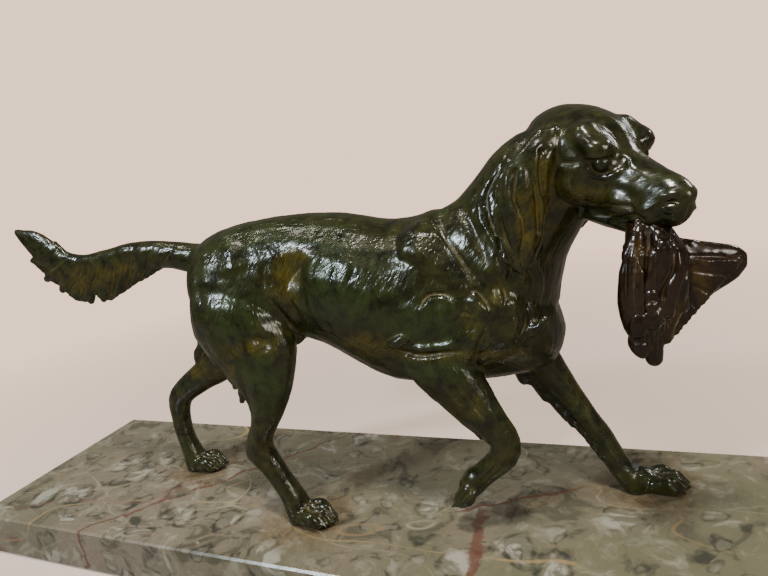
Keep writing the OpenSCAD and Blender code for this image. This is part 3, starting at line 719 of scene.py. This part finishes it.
pawSeats = [pawSeat((-52, -27, 0), -4, 0, 1.04), pawSeat((-165, 26, 0), 4, 0, 1.04),
            pawSeat((57.5, -25, 36), 0, 122, 0.9), pawSeat((142, 20, 0), 3, 0, 1.04)]
toeGrooves = [[(9, y * 0.8, 14), (13, y * 0.95, 12.5), (17, y, 11), (20, y * 1.05, 8), (23, y * 1.1, 4)]
              for y in (-4.3, 0, 4.3)]  # between the toes, in paw measure


def mirrored(path):
    return [(x, -3 - y, z) for x, y, z in path]


def eyeBalls(shape):
    for y in (-12.2, 10.4):
        ballChain(shape, [(14.1, y, 3.1)], [3.9], headMatrix)


def furTufts(shape):  # locks that break the outline
    def tuft(path, fat, thin=0.9):
        ballChain(shape, path, [fat * 0.8, fat, fat * 0.8, thin])

    def feather(start, end, depths, y, count, size):  # wavy locks along the back of a limb
        axis = np.array(end) - np.array(start)
        length = np.linalg.norm(axis)
        axis = axis / length
        out = np.array([axis[1], -axis[0]]) if axis[0] > 0 else np.array([-axis[1], axis[0]])
        out = -out if out[0] > 0 else out
        for k in range(count):
            t = k / (count - 1)
            base = np.array(start) + axis * length * t + out * (depths[0] + (depths[1] - depths[0]) * t - 2.5)
            lift = 0.9 + 0.7 * math.sin(2.4 * k + y)
            for share in (-2.2, 1.8):
                tuft([(*np.insert(base - 5 * axis - out, 1, y + share),),
                      (*np.insert(base + 2 * axis + 0.6 * lift * out, 1, y + share * 1.2),),
                      (*np.insert(base + 7 * axis + 1.1 * lift * out, 1, y + share * 0.8),)], size, 1.4)

    for path, size in elbowTufts:
        tuft(path, size)
    for x, z, size in brisketTufts:
        for y in (-23, -18, -9, 0, 9, 17):
            shift = 1.8 * math.sin(1.7 * y + x)
            lower = 4 if abs(y) > 16 else 0
            tuft([(x + 6 + shift, y, z + 4 + lower), (x + 1 + shift, y * 1.05, z - 1 + lower),
                  (x - 5 + shift, y * 1.05, z - 4.4 + lower)], size)
    for limb in limbFeathers:
        feather(*limb)
    for x, y, z, size in breechesTufts:
        tuft([(x + 2, y - 1, z + 7), (x - 3, y, z), (x - 6.5, y + 1, z - 7)], size, 2.2)
    tuft([(-34, -9, 113), (-40, -10, 109.5), (-46, -10, 109)], 4.4, 3.6)  # sheath
    for y, x, size in ((0, 0, 1.0), (-6, -5, 0.9), (-11, -8, 0.7)):  # flap of the far ear
        tuft([(141 + x, 15 + y, 203), (138 + x, 21 + y, 190), (132 + x, 24 + y, 174), (127 + x, 22 + y, 163)],
             5.4 * size, 2.4)
    for path in tailStrands:  # flag of the tail, locks laid side by side
        ballChain(shape, path, [2.4, 2.8, 2.7, 2.2])
    for place in pawSeats:  # knuckles and claws
        for side in (-1, 1):
            for reach, y in ((0, 2.2), (-4.4, 6.2)):
                ballChain(shape, [(12 + reach, side * y, 6.8), (18 + reach, side * y * 1.06, 6.9),
                                  (22 + reach, side * y * 1.06, 3.9)], [3.3, 4.0, 3.0], place)
                ballChain(shape, [(23 + reach, side * y * 1.06, 4.4), (27 + reach, side * y * 1.08, 1.8)],
                          [1.7, 0.8], place)


def alongSkin(flow, normals):
    flow -= normals * np.sum(flow * normals, axis=1)[:, None]
    return flow / np.maximum(np.linalg.norm(flow, axis=1), 1e-6)[:, None]


def hairFlow(points, normals):
    flow = np.zeros_like(points)
    for (x, z), (dx, dz) in hairWays:
        share = np.exp(-((points[:, 0] - x) ** 2 + (points[:, 2] - z) ** 2) / flowSpread)[:, None] + 1e-9
        flow += share * np.array([dx, 0, dz])
    onHead = headShare(points)[:, None]
    backwards = np.array(headMatrix.to_3x3().normalized()) @ np.array([-0.8, 0, -0.6])
    flow = flow / np.maximum(np.linalg.norm(flow, axis=1), 1e-9)[:, None]
    return alongSkin(flow * (1 - onHead) + backwards * onHead, normals)


def headShare(points):
    head = moved(points, headMatrix.inverted())
    return ramp(head[:, 0], -26, -10) * ramp(points[:, 2], 150, 165)


def chase(clay, flow, pitch, length, depth, seed):  # strokes of a chasing tool along the hair
    total = np.zeros(len(flow))
    energy = np.full(len(flow), 1e-6)
    for k in range(12):
        angle = math.pi * k / 12
        way = np.array([math.cos(angle), 0, math.sin(angle)])
        weight = np.abs(flow @ way) ** 24
        chosen = np.nonzero(weight > 0.02)[0]
        points = clay["p"][chosen]
        squeezed = (points + (points @ way)[:, None] * way * (pitch / length - 1)) / pitch
        squeezed += 0.25 * noiseAt(points / 5.0, seed + 50)[:, None]
        stroke = noiseAt(squeezed, seed + k)
        total[chosen] += weight[chosen] * (0.45 - 1.5 * np.maximum(stroke - 0.05, 0) - 0.3 * np.abs(stroke))
        energy[chosen] += weight[chosen] ** 2
    total /= np.sqrt(energy)
    clay["p"] += clay["n"] * (depth * total)[:, None]


def hollowness(clay, steps):  # above 0 in hollows, below 0 on crests
    points = clay["p"]
    for _ in range(steps):
        points = 0.4 * points + 0.6 * neighbourMean(clay, points)
    return np.sum((points - clay["p"]) * clay["n"], axis=1)


def blobs(points, spots):  # soft patches: centre, reach, strength
    total = np.zeros(len(points))
    for centre, reach, strength in spots:
        offset = (points - np.array(centre)) / np.array(reach)
        total += strength * np.exp(-np.sum(offset ** 2, axis=1))
    return np.clip(total, 0, 1)


def weather(clay, cast, flow, hairy, warm, green):  # uneven skin, chased hair, masks for the finish
    clay["flow"], clay["hairy"] = flow, hairy
    ripple = sum(height * noiseAt(clay["p"] / size, seed) for height, size, seed in cast["ripple"])
    clay["p"] += clay["n"] * ripple[:, None]
    for pitch, length, depth, seed in cast["strokes"]:
        chase(clay, flow, pitch, length, depth * hairy, seed)
    refresh(clay)
    fineSteps, blurSteps, broadSteps = cast["hollowSteps"]
    fine, broad = blur(clay, hollowness(clay, fineSteps), blurSteps), hollowness(clay, broadSteps)
    deep, low, high = cast["hollow"]
    clay["recess"] = np.clip(ramp(fine, 0.02, deep) * 0.7 + ramp(broad, low, high) * 0.8, 0, 1)
    low, high, share = cast["crest"]
    clay["crest"] = np.clip(ramp(-fine, 0.03, 0.25) * 0.6 + ramp(-broad, low, high) * share, 0, 1)
    clay["warm"], clay["green"] = blobs(clay["p"], warm), blobs(clay["p"], green)


eyeSpots = [(tuple(headMatrix @ Vector((14, y, 3.2))), (5, 5, 5), 1.0) for y in (-13, 11)]
breechesSpots = [((-112, 18, 118), (16, 14, 26), 1.0), ((-74, -22, 92), (7, 7, 14), 0.8)]
ochrePatches = [  # brown patina: centre, reach, strength
    ((-29, -26, 148), (9, 20, 15), 0.9), ((-18, -26, 162), (12, 20, 5), 0.7),
    ((14, -28, 112), (16, 20, 9), 0.8), ((-50, -34, 115), (16, 16, 6), 0.8),
    ((-72, -32, 98), (10, 20, 14), 0.6), ((70, -28, 120), (6, 14, 10), 0.7),
    ((84, -24, 132), (8, 16, 12), 0.6), ((50, -30, 104), (22, 14, 3), 0.8),
    ((104, -30, 168), (9, 10, 20), 0.8), ((113, -28, 182), (4, 6, 16), 1.0),
    ((128, -26, 176), (12, 12, 9), 0.7), ((84, -24, 102), (16, 14, 6), 0.7),
    ((-130, 20, 82), (30, 14, 8), 0.8), ((-190, 0, 156), (26, 14, 9), 0.9),
    ((-155, 0, 160), (16, 14, 7), 0.7), ((66, -26, 74), (12, 12, 14), 0.5),
    ((-60, -28, 50), (12, 14, 20), 0.4), ((112, 18, 60), (16, 12, 26), 0.4),
    ((96, -10, 140), (8, 16, 24), 0.5), ((-24, 26, 150), (14, 20, 14), 0.9),
    ((20, 28, 112), (26, 20, 9), 0.8), ((126, 10, 176), (12, 12, 16), 0.7),
    ((100, 26, 104), (20, 14, 8), 0.6)]
greenPatches = [  # verdigris
    ((54, -32, 120), (20, 18, 12), 1.0), ((2, -30, 142), (22, 24, 20), 0.8),
    ((-60, -30, 132), (18, 20, 18), 0.6), ((-50, -34, 96), (12, 18, 16), 0.8),
    ((50, -28, 98), (20, 14, 6), 0.8), ((-40, -20, 172), (40, 20, 10), 0.5),
    ((54, 32, 120), (20, 18, 12), 1.0), ((2, 30, 142), (22, 24, 20), 0.8),
    ((-60, 30, 132), (18, 20, 18), 0.6)]

print("dog: casting clay")
dog = castClay("dog", dogCast["nodes"], [], dogCast["rough"])
trunkShare = 1 - np.maximum.reduce([headShare(dog["p"]) * 0.45, 0.75 * (1 - ramp(dog["p"][:, 2], 70, 105)),
                                    0.75 * (1 - ramp(dog["p"][:, 0], -118, -100))])
paws = 1 - 0.75 * (1 - ramp(dog["p"][:, 2], 12, 20))
relax(dog, dogCast["settle"], trunkShare * paws)
for centre, reach, height, side in muscles:
    swell(dog, centre, reach, height, side)
refresh(dog)
headTurn = headMatrix.inverted()
for x, z, sides, reach, height in headMuscles:
    for y in sides:
        local = moved(dog["p"], headTurn)
        fall = np.clip(1 - np.sum(((local - np.array((x, y, z))) / np.array(reach)) ** 2, axis=1), 0, 1) ** 2
        dog["p"] += dog["n"] * (height * fall)[:, None]
refresh(dog)
relax(dog, 2)
dog = recast(dog["mesh"], dogCast["fine"], [eyeBalls, furTufts])
relax(dog, 3, 0.9)
relax(dog, dogCast["tailSettle"], ramp(-dog["p"][:, 0], 150, 165) * ramp(dog["p"][:, 2], 120, 130))
relax(dog, dogCast["breechesSettle"], blobs(dog["p"], breechesSpots))
print("dog: fine clay,", len(dog["p"]), "vertices")

for side, lines in sideLines.items():
    for path, width, height in lines:
        ridge(dog, onSide(dog, side, path), width, height)
refresh(dog)
for path, width, height, both in headLines:
    ridge(dog, onSkin(dog, path, headMatrix), width, height, 0.35)
    if both:
        ridge(dog, onSkin(dog, mirrored(path), headMatrix), width, height, 0.35)
for path, width, height in earLocks:
    ridge(dog, onSkin(dog, path, headMatrix), width, height, 0.3)
for place in pawSeats:
    for path in toeGrooves:
        ridge(dog, onSkin(dog, path, place), 1.0, -1.7, 0.3)
for path, width, height in neckLocks:
    for side in (-1, 1):
        ridge(dog, onSide(dog, side, path), width, height, 0.4)
for k, path in enumerate(tailLocks):
    for side in (-1, 1):
        ridge(dog, onSide(dog, side, path), 1.2, -1.0 if k % 2 else 0.7, 0.4)
for k, path in enumerate(farEarLocks):
    ridge(dog, onSkin(dog, path), 1.2, -1.2 if k % 2 else 1.0, 0.3)
refresh(dog)
relax(dog, 1, 0.6)
print("dog: folds and locks cut")

hairy = 1 - 0.55 * headShare(dog["p"])
hairy *= (1 - 0.6 * (1 - ramp(dog["p"][:, 2], 8, 16))) * (1 - blobs(dog["p"], eyeSpots))
weather(dog, dogCast, hairFlow(dog["p"], dog["n"]), hairy, ochrePatches, greenPatches)
print("dog: hair chased")

# ---- sawing the clay into its castings again ----
sawCuts = [  # first match wins; the rest is the body
    ("tail_casting", lambda p, h: (p[:, 0] < -103) & (p[:, 2] > 140)),
    ("hindleg_near", lambda p, h: (p[:, 0] < -24) & (p[:, 1] < -4) & (p[:, 2] < 116)),
    ("hindleg_far", lambda p, h: (p[:, 0] < -30) & (p[:, 1] >= -4) & (p[:, 2] < 116)),
    ("foreleg_near", lambda p, h: (p[:, 0] > 20) & (p[:, 1] < 0) & (p[:, 2] < 0.75 * (p[:, 0] - 60) + 92)
     & (p[:, 2] < 92)),
    ("foreleg_far", lambda p, h: (p[:, 0] > 66) & (p[:, 1] >= 0) & (p[:, 2] < 88)),
    ("head_casting", lambda p, h: h > 0)]
neckSeat = {"at": (88, -1, 164), "tip": 59, "turn": -8}
sawLip = 0.0009  # how far a cut face sits under the skin, in metres
attributeNames = ("recess", "crest", "warm", "green", "hairy")


def sortCrumbs(mesh, label, fewest=400):  # small islands join what they touch, specks go
    work = bmesh.new()
    work.from_mesh(mesh)
    label = [int(k) for k in label]
    seen = [False] * len(label)
    for start in work.faces:
        if seen[start.index]:
            continue
        seen[start.index] = True
        mine, beyond, island = label[start.index], -1, [start]
        for face in island:  # the list grows while it is read
            for edge in face.edges:
                for other in edge.link_faces:
                    if label[other.index] != mine:
                        beyond = label[other.index]
                    elif not seen[other.index]:
                        seen[other.index] = True
                        island.append(other)
        if len(island) < fewest:
            for face in island:
                label[face.index] = beyond
    work.free()
    return label


def saw(clay, name, label, wanted, material):
    mesh = clay["mesh"].copy()
    mesh.name = name
    work = bmesh.new()
    work.from_mesh(mesh)
    work.faces.ensure_lookup_table()
    drop = [face for face in work.faces if label[face.index] != wanted]
    bmesh.ops.delete(work, geom=drop, context="FACES")
    rims = [edge for edge in work.edges if edge.is_boundary]
    if rims:
        grown = bmesh.ops.extrude_edge_only(work, edges=rims)["geom"]
        skin = work.verts.layers.float_vector["skinNormal"]
        for vertex in grown:
            if isinstance(vertex, bmesh.types.BMVert):
                vertex.co -= vertex[skin] * sawLip
        rims = [edge for edge in work.edges if edge.is_boundary]
        caps = bmesh.ops.holes_fill(work, edges=rims, sides=0)["faces"]
        bmesh.ops.triangulate(work, faces=caps)
        bmesh.ops.recalc_face_normals(work, faces=work.faces[:])
    work.to_mesh(mesh)
    work.free()
    mesh.polygons.foreach_set("use_smooth", [True] * len(mesh.polygons))
    whole = readOut(mesh.attributes["skinNormal"].data, "vector", 3)
    mesh.normals_split_custom_set_from_vertices(whole.tolist())
    mesh.attributes.remove(mesh.attributes["skinNormal"])
    mesh.materials.append(material)
    piece = bpy.data.objects.new(name, mesh)
    scene.collection.objects.link(piece)
    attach(piece, "root")
    mesh.calc_loop_triangles()
    print("  ", name, len(mesh.loop_triangles), "triangles")
    return piece


def dress(clay):  # what the finishes read goes on the vertices
    mesh = clay["mesh"]
    for name in attributeNames:
        mesh.attributes.new(name, "FLOAT", "POINT").data.foreach_set("value", clay[name].astype(np.float32))
    for name, vectors in (("flow", clay["flow"]), ("skinNormal", clay["n"])):
        turned = vectors @ dogTurn.T
        mesh.attributes.new(name, "FLOAT_VECTOR", "POINT").data.foreach_set("vector", turned.ravel())


dress(dog)
neckMatrix = Matrix.Translation(neckSeat["at"]) @ turnBy(neckSeat["turn"], "Z") @ turnBy(neckSeat["tip"], "Y")
middles = moved(readOut(dog["mesh"].polygons, "center", 3), toDog.inverted())
beyond = moved(middles, neckMatrix.inverted())[:, 2]
beyond = np.where(middles[:, 0] > 60, beyond, -1)
label = np.zeros(len(middles), dtype=int)
for k, (name, test) in reversed(list(enumerate(sawCuts))):
    label[test(middles, beyond)] = k + 1
label = sortCrumbs(dog["mesh"], label)
bronzeGreen = bronzeMaterial("bronze_green", 1.0)
for k, name in enumerate(["body_casting"] + [name for name, _ in sawCuts]):
    piece = saw(dog, name.replace("_casting", "") + "_bronze", label, k, bronzeGreen)
    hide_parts(name)
bpy.data.meshes.remove(dog["mesh"])
print("dog: sawn into castings")

# ---- the bird, in the same millimetres ----
birdCast = {"voxel": 0.5, "hairy": 0.5,
            "settle": {"bird_body": 22, "bird_wing_folded": 22, "bird_wing_spread": 60},
            "ripple": ((0.2, 6, 7), (0.05, 2, 8)), "strokes": ((1.8, 10, 0.12, 61),),
            "hollowSteps": (5, 0, 40), "hollow": (0.2, 0.2, 1.2), "crest": (0.6, 2.2, 0.4)}
birdLines = {  # path in side view, width, height
    "bird_body": [
        ([(153, 162), (151, 150), (148, 140), (146, 134)], 1.5, -2.4),
        ([(157, 160), (155.5, 150), (153, 139)], 2.2, 1.3),
        ([(162, 158), (162, 150), (161, 143), (157, 136), (156, 130), (152, 125)], 1.2, -1.5),
        ([(160, 158), (159.6, 150), (159, 143), (155.5, 136)], 1.0, 0.8),
        ([(166, 156), (167, 146), (165, 136), (161, 124)], 1.3, -1.2),
        ([(164, 129), (161, 122), (158, 114)], 1.1, -1.1),
        ([(162, 151), (162.4, 149.4)], 1.0, -1.8),
        ([(149, 134), (152, 135.4), (155, 134)], 0.8, 0.9),
        ([(149.4, 130.6), (152.4, 131.6), (155.4, 130)], 0.8, -0.9),
        ([(144, 126), (147, 127.6), (150, 126.6)], 0.8, -1.0),
        ([(150, 118), (151.4, 110), (151.6, 104)], 0.8, -0.7),
        ([(154, 118), (154.4, 110), (153.6, 104)], 0.8, -0.7),
        ([(158, 122), (157, 114)], 0.8, -0.8)],
    "bird_wing_folded": [
        ([(146, 156), (143, 148), (142, 136), (144, 122)], 1.0, -0.9),
        ([(148, 156), (146.4, 146), (145, 134), (146.4, 120)], 0.9, -0.9)],
    "bird_wing_spread": [
        ([(168, 151), (178, 151.6), (188, 148)], 1.3, 0.7),
        ([(168, 146), (180, 144), (188, 142)], 0.9, -0.5),
        ([(168, 140), (178, 137), (185, 135)], 0.9, -0.5),
        ([(167, 134), (174, 130), (179, 127)], 0.9, -0.5),
        ([(166, 128), (169, 124), (172, 120)], 0.9, -0.5)]}
birdPatches = [  # brown patina on the bird
    ((172, -34, 137), (5, 12, 13), 1.0), ((148, -46, 150), (3, 8, 12), 0.8),
    ((162, -40, 120), (6, 8, 10), 0.8)]
birdWays = {"bird_body": (0.08, 0, -1), "bird_wing_folded": (0.05, 0, -1), "bird_wing_spread": (0.8, 0, -0.5)}


def birdExtras(shape):
    ballChain(shape, [(147, -43.5, 127), (146.4, -44.5, 122), (145.4, -44.5, 118), (143.6, -43.6, 114)],
              [3.6, 5.0, 4.4, 1.6])  # small head and bill
    ballChain(shape, [(152, -43, 136), (153.4, -44, 131)], [4.0, 4.4])


def wingExtras(shape):
    for k in range(8):  # fills the fan between its feathers
        ballChain(shape, [(161, -32, 140.5 - 1.5 * k), (184.6 - 3.7 * k, -29.8 - 0.4 * k, 139.8 - 4.2 * k)],
                  [3.4, 2.5])


def foldedExtras(shape):
    ballChain(shape, [(149, -40, 164), (148, -42, 157), (146, -43, 150)], [1.8, 3.8, 4.8])


def modelBird(name, extra, material):
    clay = castClay(name, [name], [extra], birdCast["voxel"])
    relax(clay, birdCast["settle"][name])
    for path, width, height in birdLines[name]:
        ridge(clay, onSide(clay, -1, path), width, height, 0.4)
    refresh(clay)
    count = len(clay["p"])
    flow = alongSkin(np.tile(np.array(birdWays[name], dtype=float), (count, 1)), clay["n"])
    weather(clay, birdCast, flow, np.full(count, birdCast["hairy"]), birdPatches, ())
    dress(clay)
    label = sortCrumbs(clay["mesh"], np.zeros(len(clay["mesh"].polygons)))
    piece = saw(clay, name + "_bronze", label, 0, material)
    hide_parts(name)


plumTints = {"Deep": (0.006, 0.0028, 0.0010, 1), "Body": (0.021, 0.0088, 0.0024, 1),
             "Bloom": (0.030, 0.015, 0.004, 1), "Hollow": (0.078, 0.046, 0.002, 1),
             "Rust": (0.06, 0.02, 0.008, 1), "Worn": (0.045, 0.03, 0.024, 1)}
bronzePlum = bronzeMaterial("bronze_plum", 0.35, **plumTints)
modelBird("bird_body", birdExtras, bronzePlum)
modelBird("bird_wing_folded", foldedExtras, bronzePlum)
modelBird("bird_wing_spread", wingExtras, bronzePlum)
print("bird: modelled")

# ---- marble, felt and fixings keep their own shapes ----
pawsOnMarble = ((-46, -27), (-158, 26), (149, 20))  # iron stains, in dog millimetres
marbleVeins = (  # scale, turn, width, colour, strength
    (4.6, 0.15, 0.0016, (0.36, 0.25, 0.11, 1), 0.75), (6.5, 1.2, 0.0018, (0.28, 0.18, 0.09, 1), 0.5),
    (8.0, 0.75, 0.0016, (0.42, 0.36, 0.24, 1), 0.5), (3.6, 2.1, 0.0045, (0.15, 0.075, 0.05, 1), 0.5))
redVeins = (  # slope, place, from, to, width
    (-0.12, 0.0585, -0.12, 0.0, 0.0036), (1.9, 0.062, -0.012, 0.03, 0.0030),
    (0.9, -0.13, -0.08, 0.07, 0.002))


def marbleMaterial():
    material, shader = newMaterial("shell_marble")
    tree = material.node_tree
    where = objectPlace(tree)
    warp = noise(tree, where, 26, 3, 0.55, socket="Color")
    pushed = addNode(tree, "VectorMath", {0: warp, 1: (0.036, 0.036, 0.036)}, operation="MULTIPLY")
    bent = addNode(tree, "VectorMath", {0: where, 1: pushed.outputs[0]}, operation="ADD").outputs[0]
    broad = noise(tree, where, 9, 4, 0.6, 0.6)
    middle = noise(tree, where, 46, 5, 0.62, 1.2)
    fine = noise(tree, where, 260, 4, 0.7, 0.4)
    sides = addNode(tree, "SeparateXYZ", {"Vector": where})
    acrossX, alongY = sides.outputs["X"], sides.outputs["Y"]
    colour = mixColour(tree, remap(tree, broad, 0.38, 0.62), (0.19, 0.16, 0.105, 1), (0.135, 0.128, 0.072, 1))
    mauve = times(tree, remap(tree, acrossX, -0.02, -0.24), remap(tree, broad, 0.35, 0.6, 1.0, 0.4))
    colour = mixColour(tree, times(tree, mauve, 0.75), colour, (0.235, 0.185, 0.150, 1))
    colour = mixColour(tree, remap(tree, middle, 0.53, 0.62, 0, 0.9), colour, (0.070, 0.066, 0.040, 1))
    colour = mixColour(tree, remap(tree, middle, 0.44, 0.34, 0, 0.7), colour, (0.30, 0.27, 0.20, 1))
    colour = mixColour(tree, remap(tree, fine, 0.35, 0.7, 0, 0.5), colour, (0.115, 0.10, 0.07, 1))
    for scale, share, rim, shell in ((38, 0.55, (0.028, 0.030, 0.024, 1), (0.36, 0.34, 0.27, 1)),
                                     (66, 0.60, (0.040, 0.040, 0.030, 1), (0.27, 0.25, 0.19, 1))):
        cells = addNode(tree, "TexVoronoi", {"Vector": bent, "Scale": scale, "Randomness": 1.0})
        picked = addNode(tree, "SeparateColor", {"Color": cells.outputs["Color"]}).outputs["Red"]
        chosen = remap(tree, picked, share, share + 0.02)
        ring = maths(tree, "ABSOLUTE", minus(tree, cells.outputs["Distance"], 0.40))
        outline = times(tree, remap(tree, ring, 0.03, 0.09, 1, 0), chosen)
        inside = times(tree, remap(tree, cells.outputs["Distance"], 0.22, 0.40, 1, 0), chosen)
        crescent = times(tree, inside, remap(tree, middle, 0.5, 0.44))
        colour = mixColour(tree, times(tree, inside, 0.45), colour, (0.14, 0.135, 0.10, 1))
        colour = mixColour(tree, times(tree, crescent, 0.75), colour, shell)
        colour = mixColour(tree, times(tree, outline, remap(tree, middle, 0.40, 0.58, 0.0, 0.8)), colour, rim)
    streak = addNode(tree, "Mapping", {"Vector": bent, "Rotation": (0, 0, 0.5),
                                                 "Scale": (26, 75, 60)})
    cream = noise(tree, streak.outputs[0], 1.0, 4, 0.6, 0.8)
    pale = times(tree, remap(tree, cream, 0.63, 0.70), remap(tree, acrossX, 0.05, -0.2, 0.15, 0.75))
    colour = mixColour(tree, pale, colour, (0.40, 0.38, 0.31, 1))
    for scale, turn, width, tint, share in marbleVeins:
        lined = addNode(tree, "Mapping", {"Vector": where, "Rotation": (0, 0, turn),
                                                    "Scale": (0.4, 1, 1)})
        vein = noise(tree, lined.outputs[0], scale, 2.5, 0.5, 0.25)
        thin = maths(tree, "ABSOLUTE", minus(tree, vein, 0.5))
        thin = times(tree, remap(tree, thin, width * 0.3, width, share, 0), remap(tree, middle, 0.36, 0.6))
        colour = mixColour(tree, thin, colour, tint)
    shake = times(tree, minus(tree, noise(tree, where, 60, 4), 0.5), 0.022)
    for slope, place, low, high, width in redVeins:  # two red-brown seams right of the middle
        line = plus(tree, times(tree, alongY, slope), place)
        gap = maths(tree, "ABSOLUTE", plus(tree, minus(tree, acrossX, line), shake))
        seam = times(tree, remap(tree, gap, width * 0.5, width, 1, 0),
                     times(tree, remap(tree, alongY, low, low + 0.004),
                           remap(tree, alongY, high, high - 0.006)))
        colour = mixColour(tree, times(tree, seam, 0.8), colour, (0.115, 0.045, 0.030, 1))
    for x, y in pawsOnMarble:
        spot = toDog @ Vector((x, y, 0))
        reach = addNode(tree, "VectorMath", {0: where, 1: spot[:]}, operation="DISTANCE")
        near = remap(tree, reach.outputs["Value"], 0.017, 0.034, 1, 0)
        stain = times(tree, near, remap(tree, fine, 0.3, 0.6))
        colour = mixColour(tree, times(tree, stain, 0.55), colour, (0.12, 0.068, 0.022, 1))
    rough = remap(tree, fine, 0.3, 0.7, 0.20, 0.34)
    bump = addNode(tree, "Bump", {"Height": plus(tree, fine, middle), "Strength": 0.12,
                                            "Distance": 0.0004})
    feed(tree, shader, Base_Color=colour, Roughness=rough, Normal=bump.outputs["Normal"])
    return material


def feltMaterial():
    material, shader = newMaterial("green_felt")
    tree = material.node_tree
    where = objectPlace(tree)
    fibre = noise(tree, where, 1800, 4, 0.7, 1.5)
    patch = noise(tree, where, 60, 3, 0.6)
    colour = mixColour(tree, fibre, (0.012, 0.045, 0.022, 1), (0.04, 0.11, 0.055, 1))
    colour = mixColour(tree, remap(tree, patch, 0.4, 0.7, 0, 0.35), colour, (0.05, 0.09, 0.05, 1))
    bump = addNode(tree, "Bump", {"Height": fibre, "Strength": 0.6, "Distance": 0.0004})
    feed(tree, shader, Base_Color=colour, Roughness=remap(tree, fibre, 0.3, 0.7, 0.85, 1.0),
         Normal=bump.outputs["Normal"])
    shader.inputs["Sheen Weight"].default_value = 0.4
    return material


def metalMaterial(name, dark, bright, rough, scratch):
    material, shader = newMaterial(name)
    tree = material.node_tree
    where = objectPlace(tree)
    tarnish = noise(tree, where, 220, 4, 0.65, 0.4)
    lines = addNode(tree, "Mapping", {"Vector": where, "Scale": (scratch, scratch, scratch * 0.08)})
    scored = noise(tree, lines.outputs[0], 1.0, 3, 0.6)
    colour = mixColour(tree, remap(tree, tarnish, 0.3, 0.7), dark, bright)
    bump = addNode(tree, "Bump", {"Height": scored, "Strength": 0.25, "Distance": 0.0002})
    feed(tree, shader, Base_Color=colour, Roughness=remap(tree, scored, 0.3, 0.7, rough, rough + 0.2),
         Normal=bump.outputs["Normal"])
    shader.inputs["Metallic"].default_value = 1.0
    return material


def coat(material, *names):
    for name in names:
        mesh = nodes[name].data
        mesh.materials.clear()
        mesh.materials.append(material)


coat(marbleMaterial(), "marble_base")
coat(feltMaterial(), "felt_sheet")
coat(metalMaterial("turned_brass", (0.20, 0.12, 0.05, 1), (0.42, 0.29, 0.12, 1), 0.3, 3000),
     "neck_sleeve", "tail_dowel", "leg_dowels", "wing_pins", "beak_pin")
coat(metalMaterial("plain_steel", (0.20, 0.20, 0.20, 1), (0.42, 0.42, 0.43, 1), 0.28, 2600),
     "paw_studs", "stud_washers", "stud_nuts")
coat(metalMaterial("filed_bronze", (0.012, 0.014, 0.009, 1), (0.04, 0.045, 0.025, 1), 0.3, 2600),
     "neck_pins", "core_plugs")
print("base: marble, felt and fixings finished")
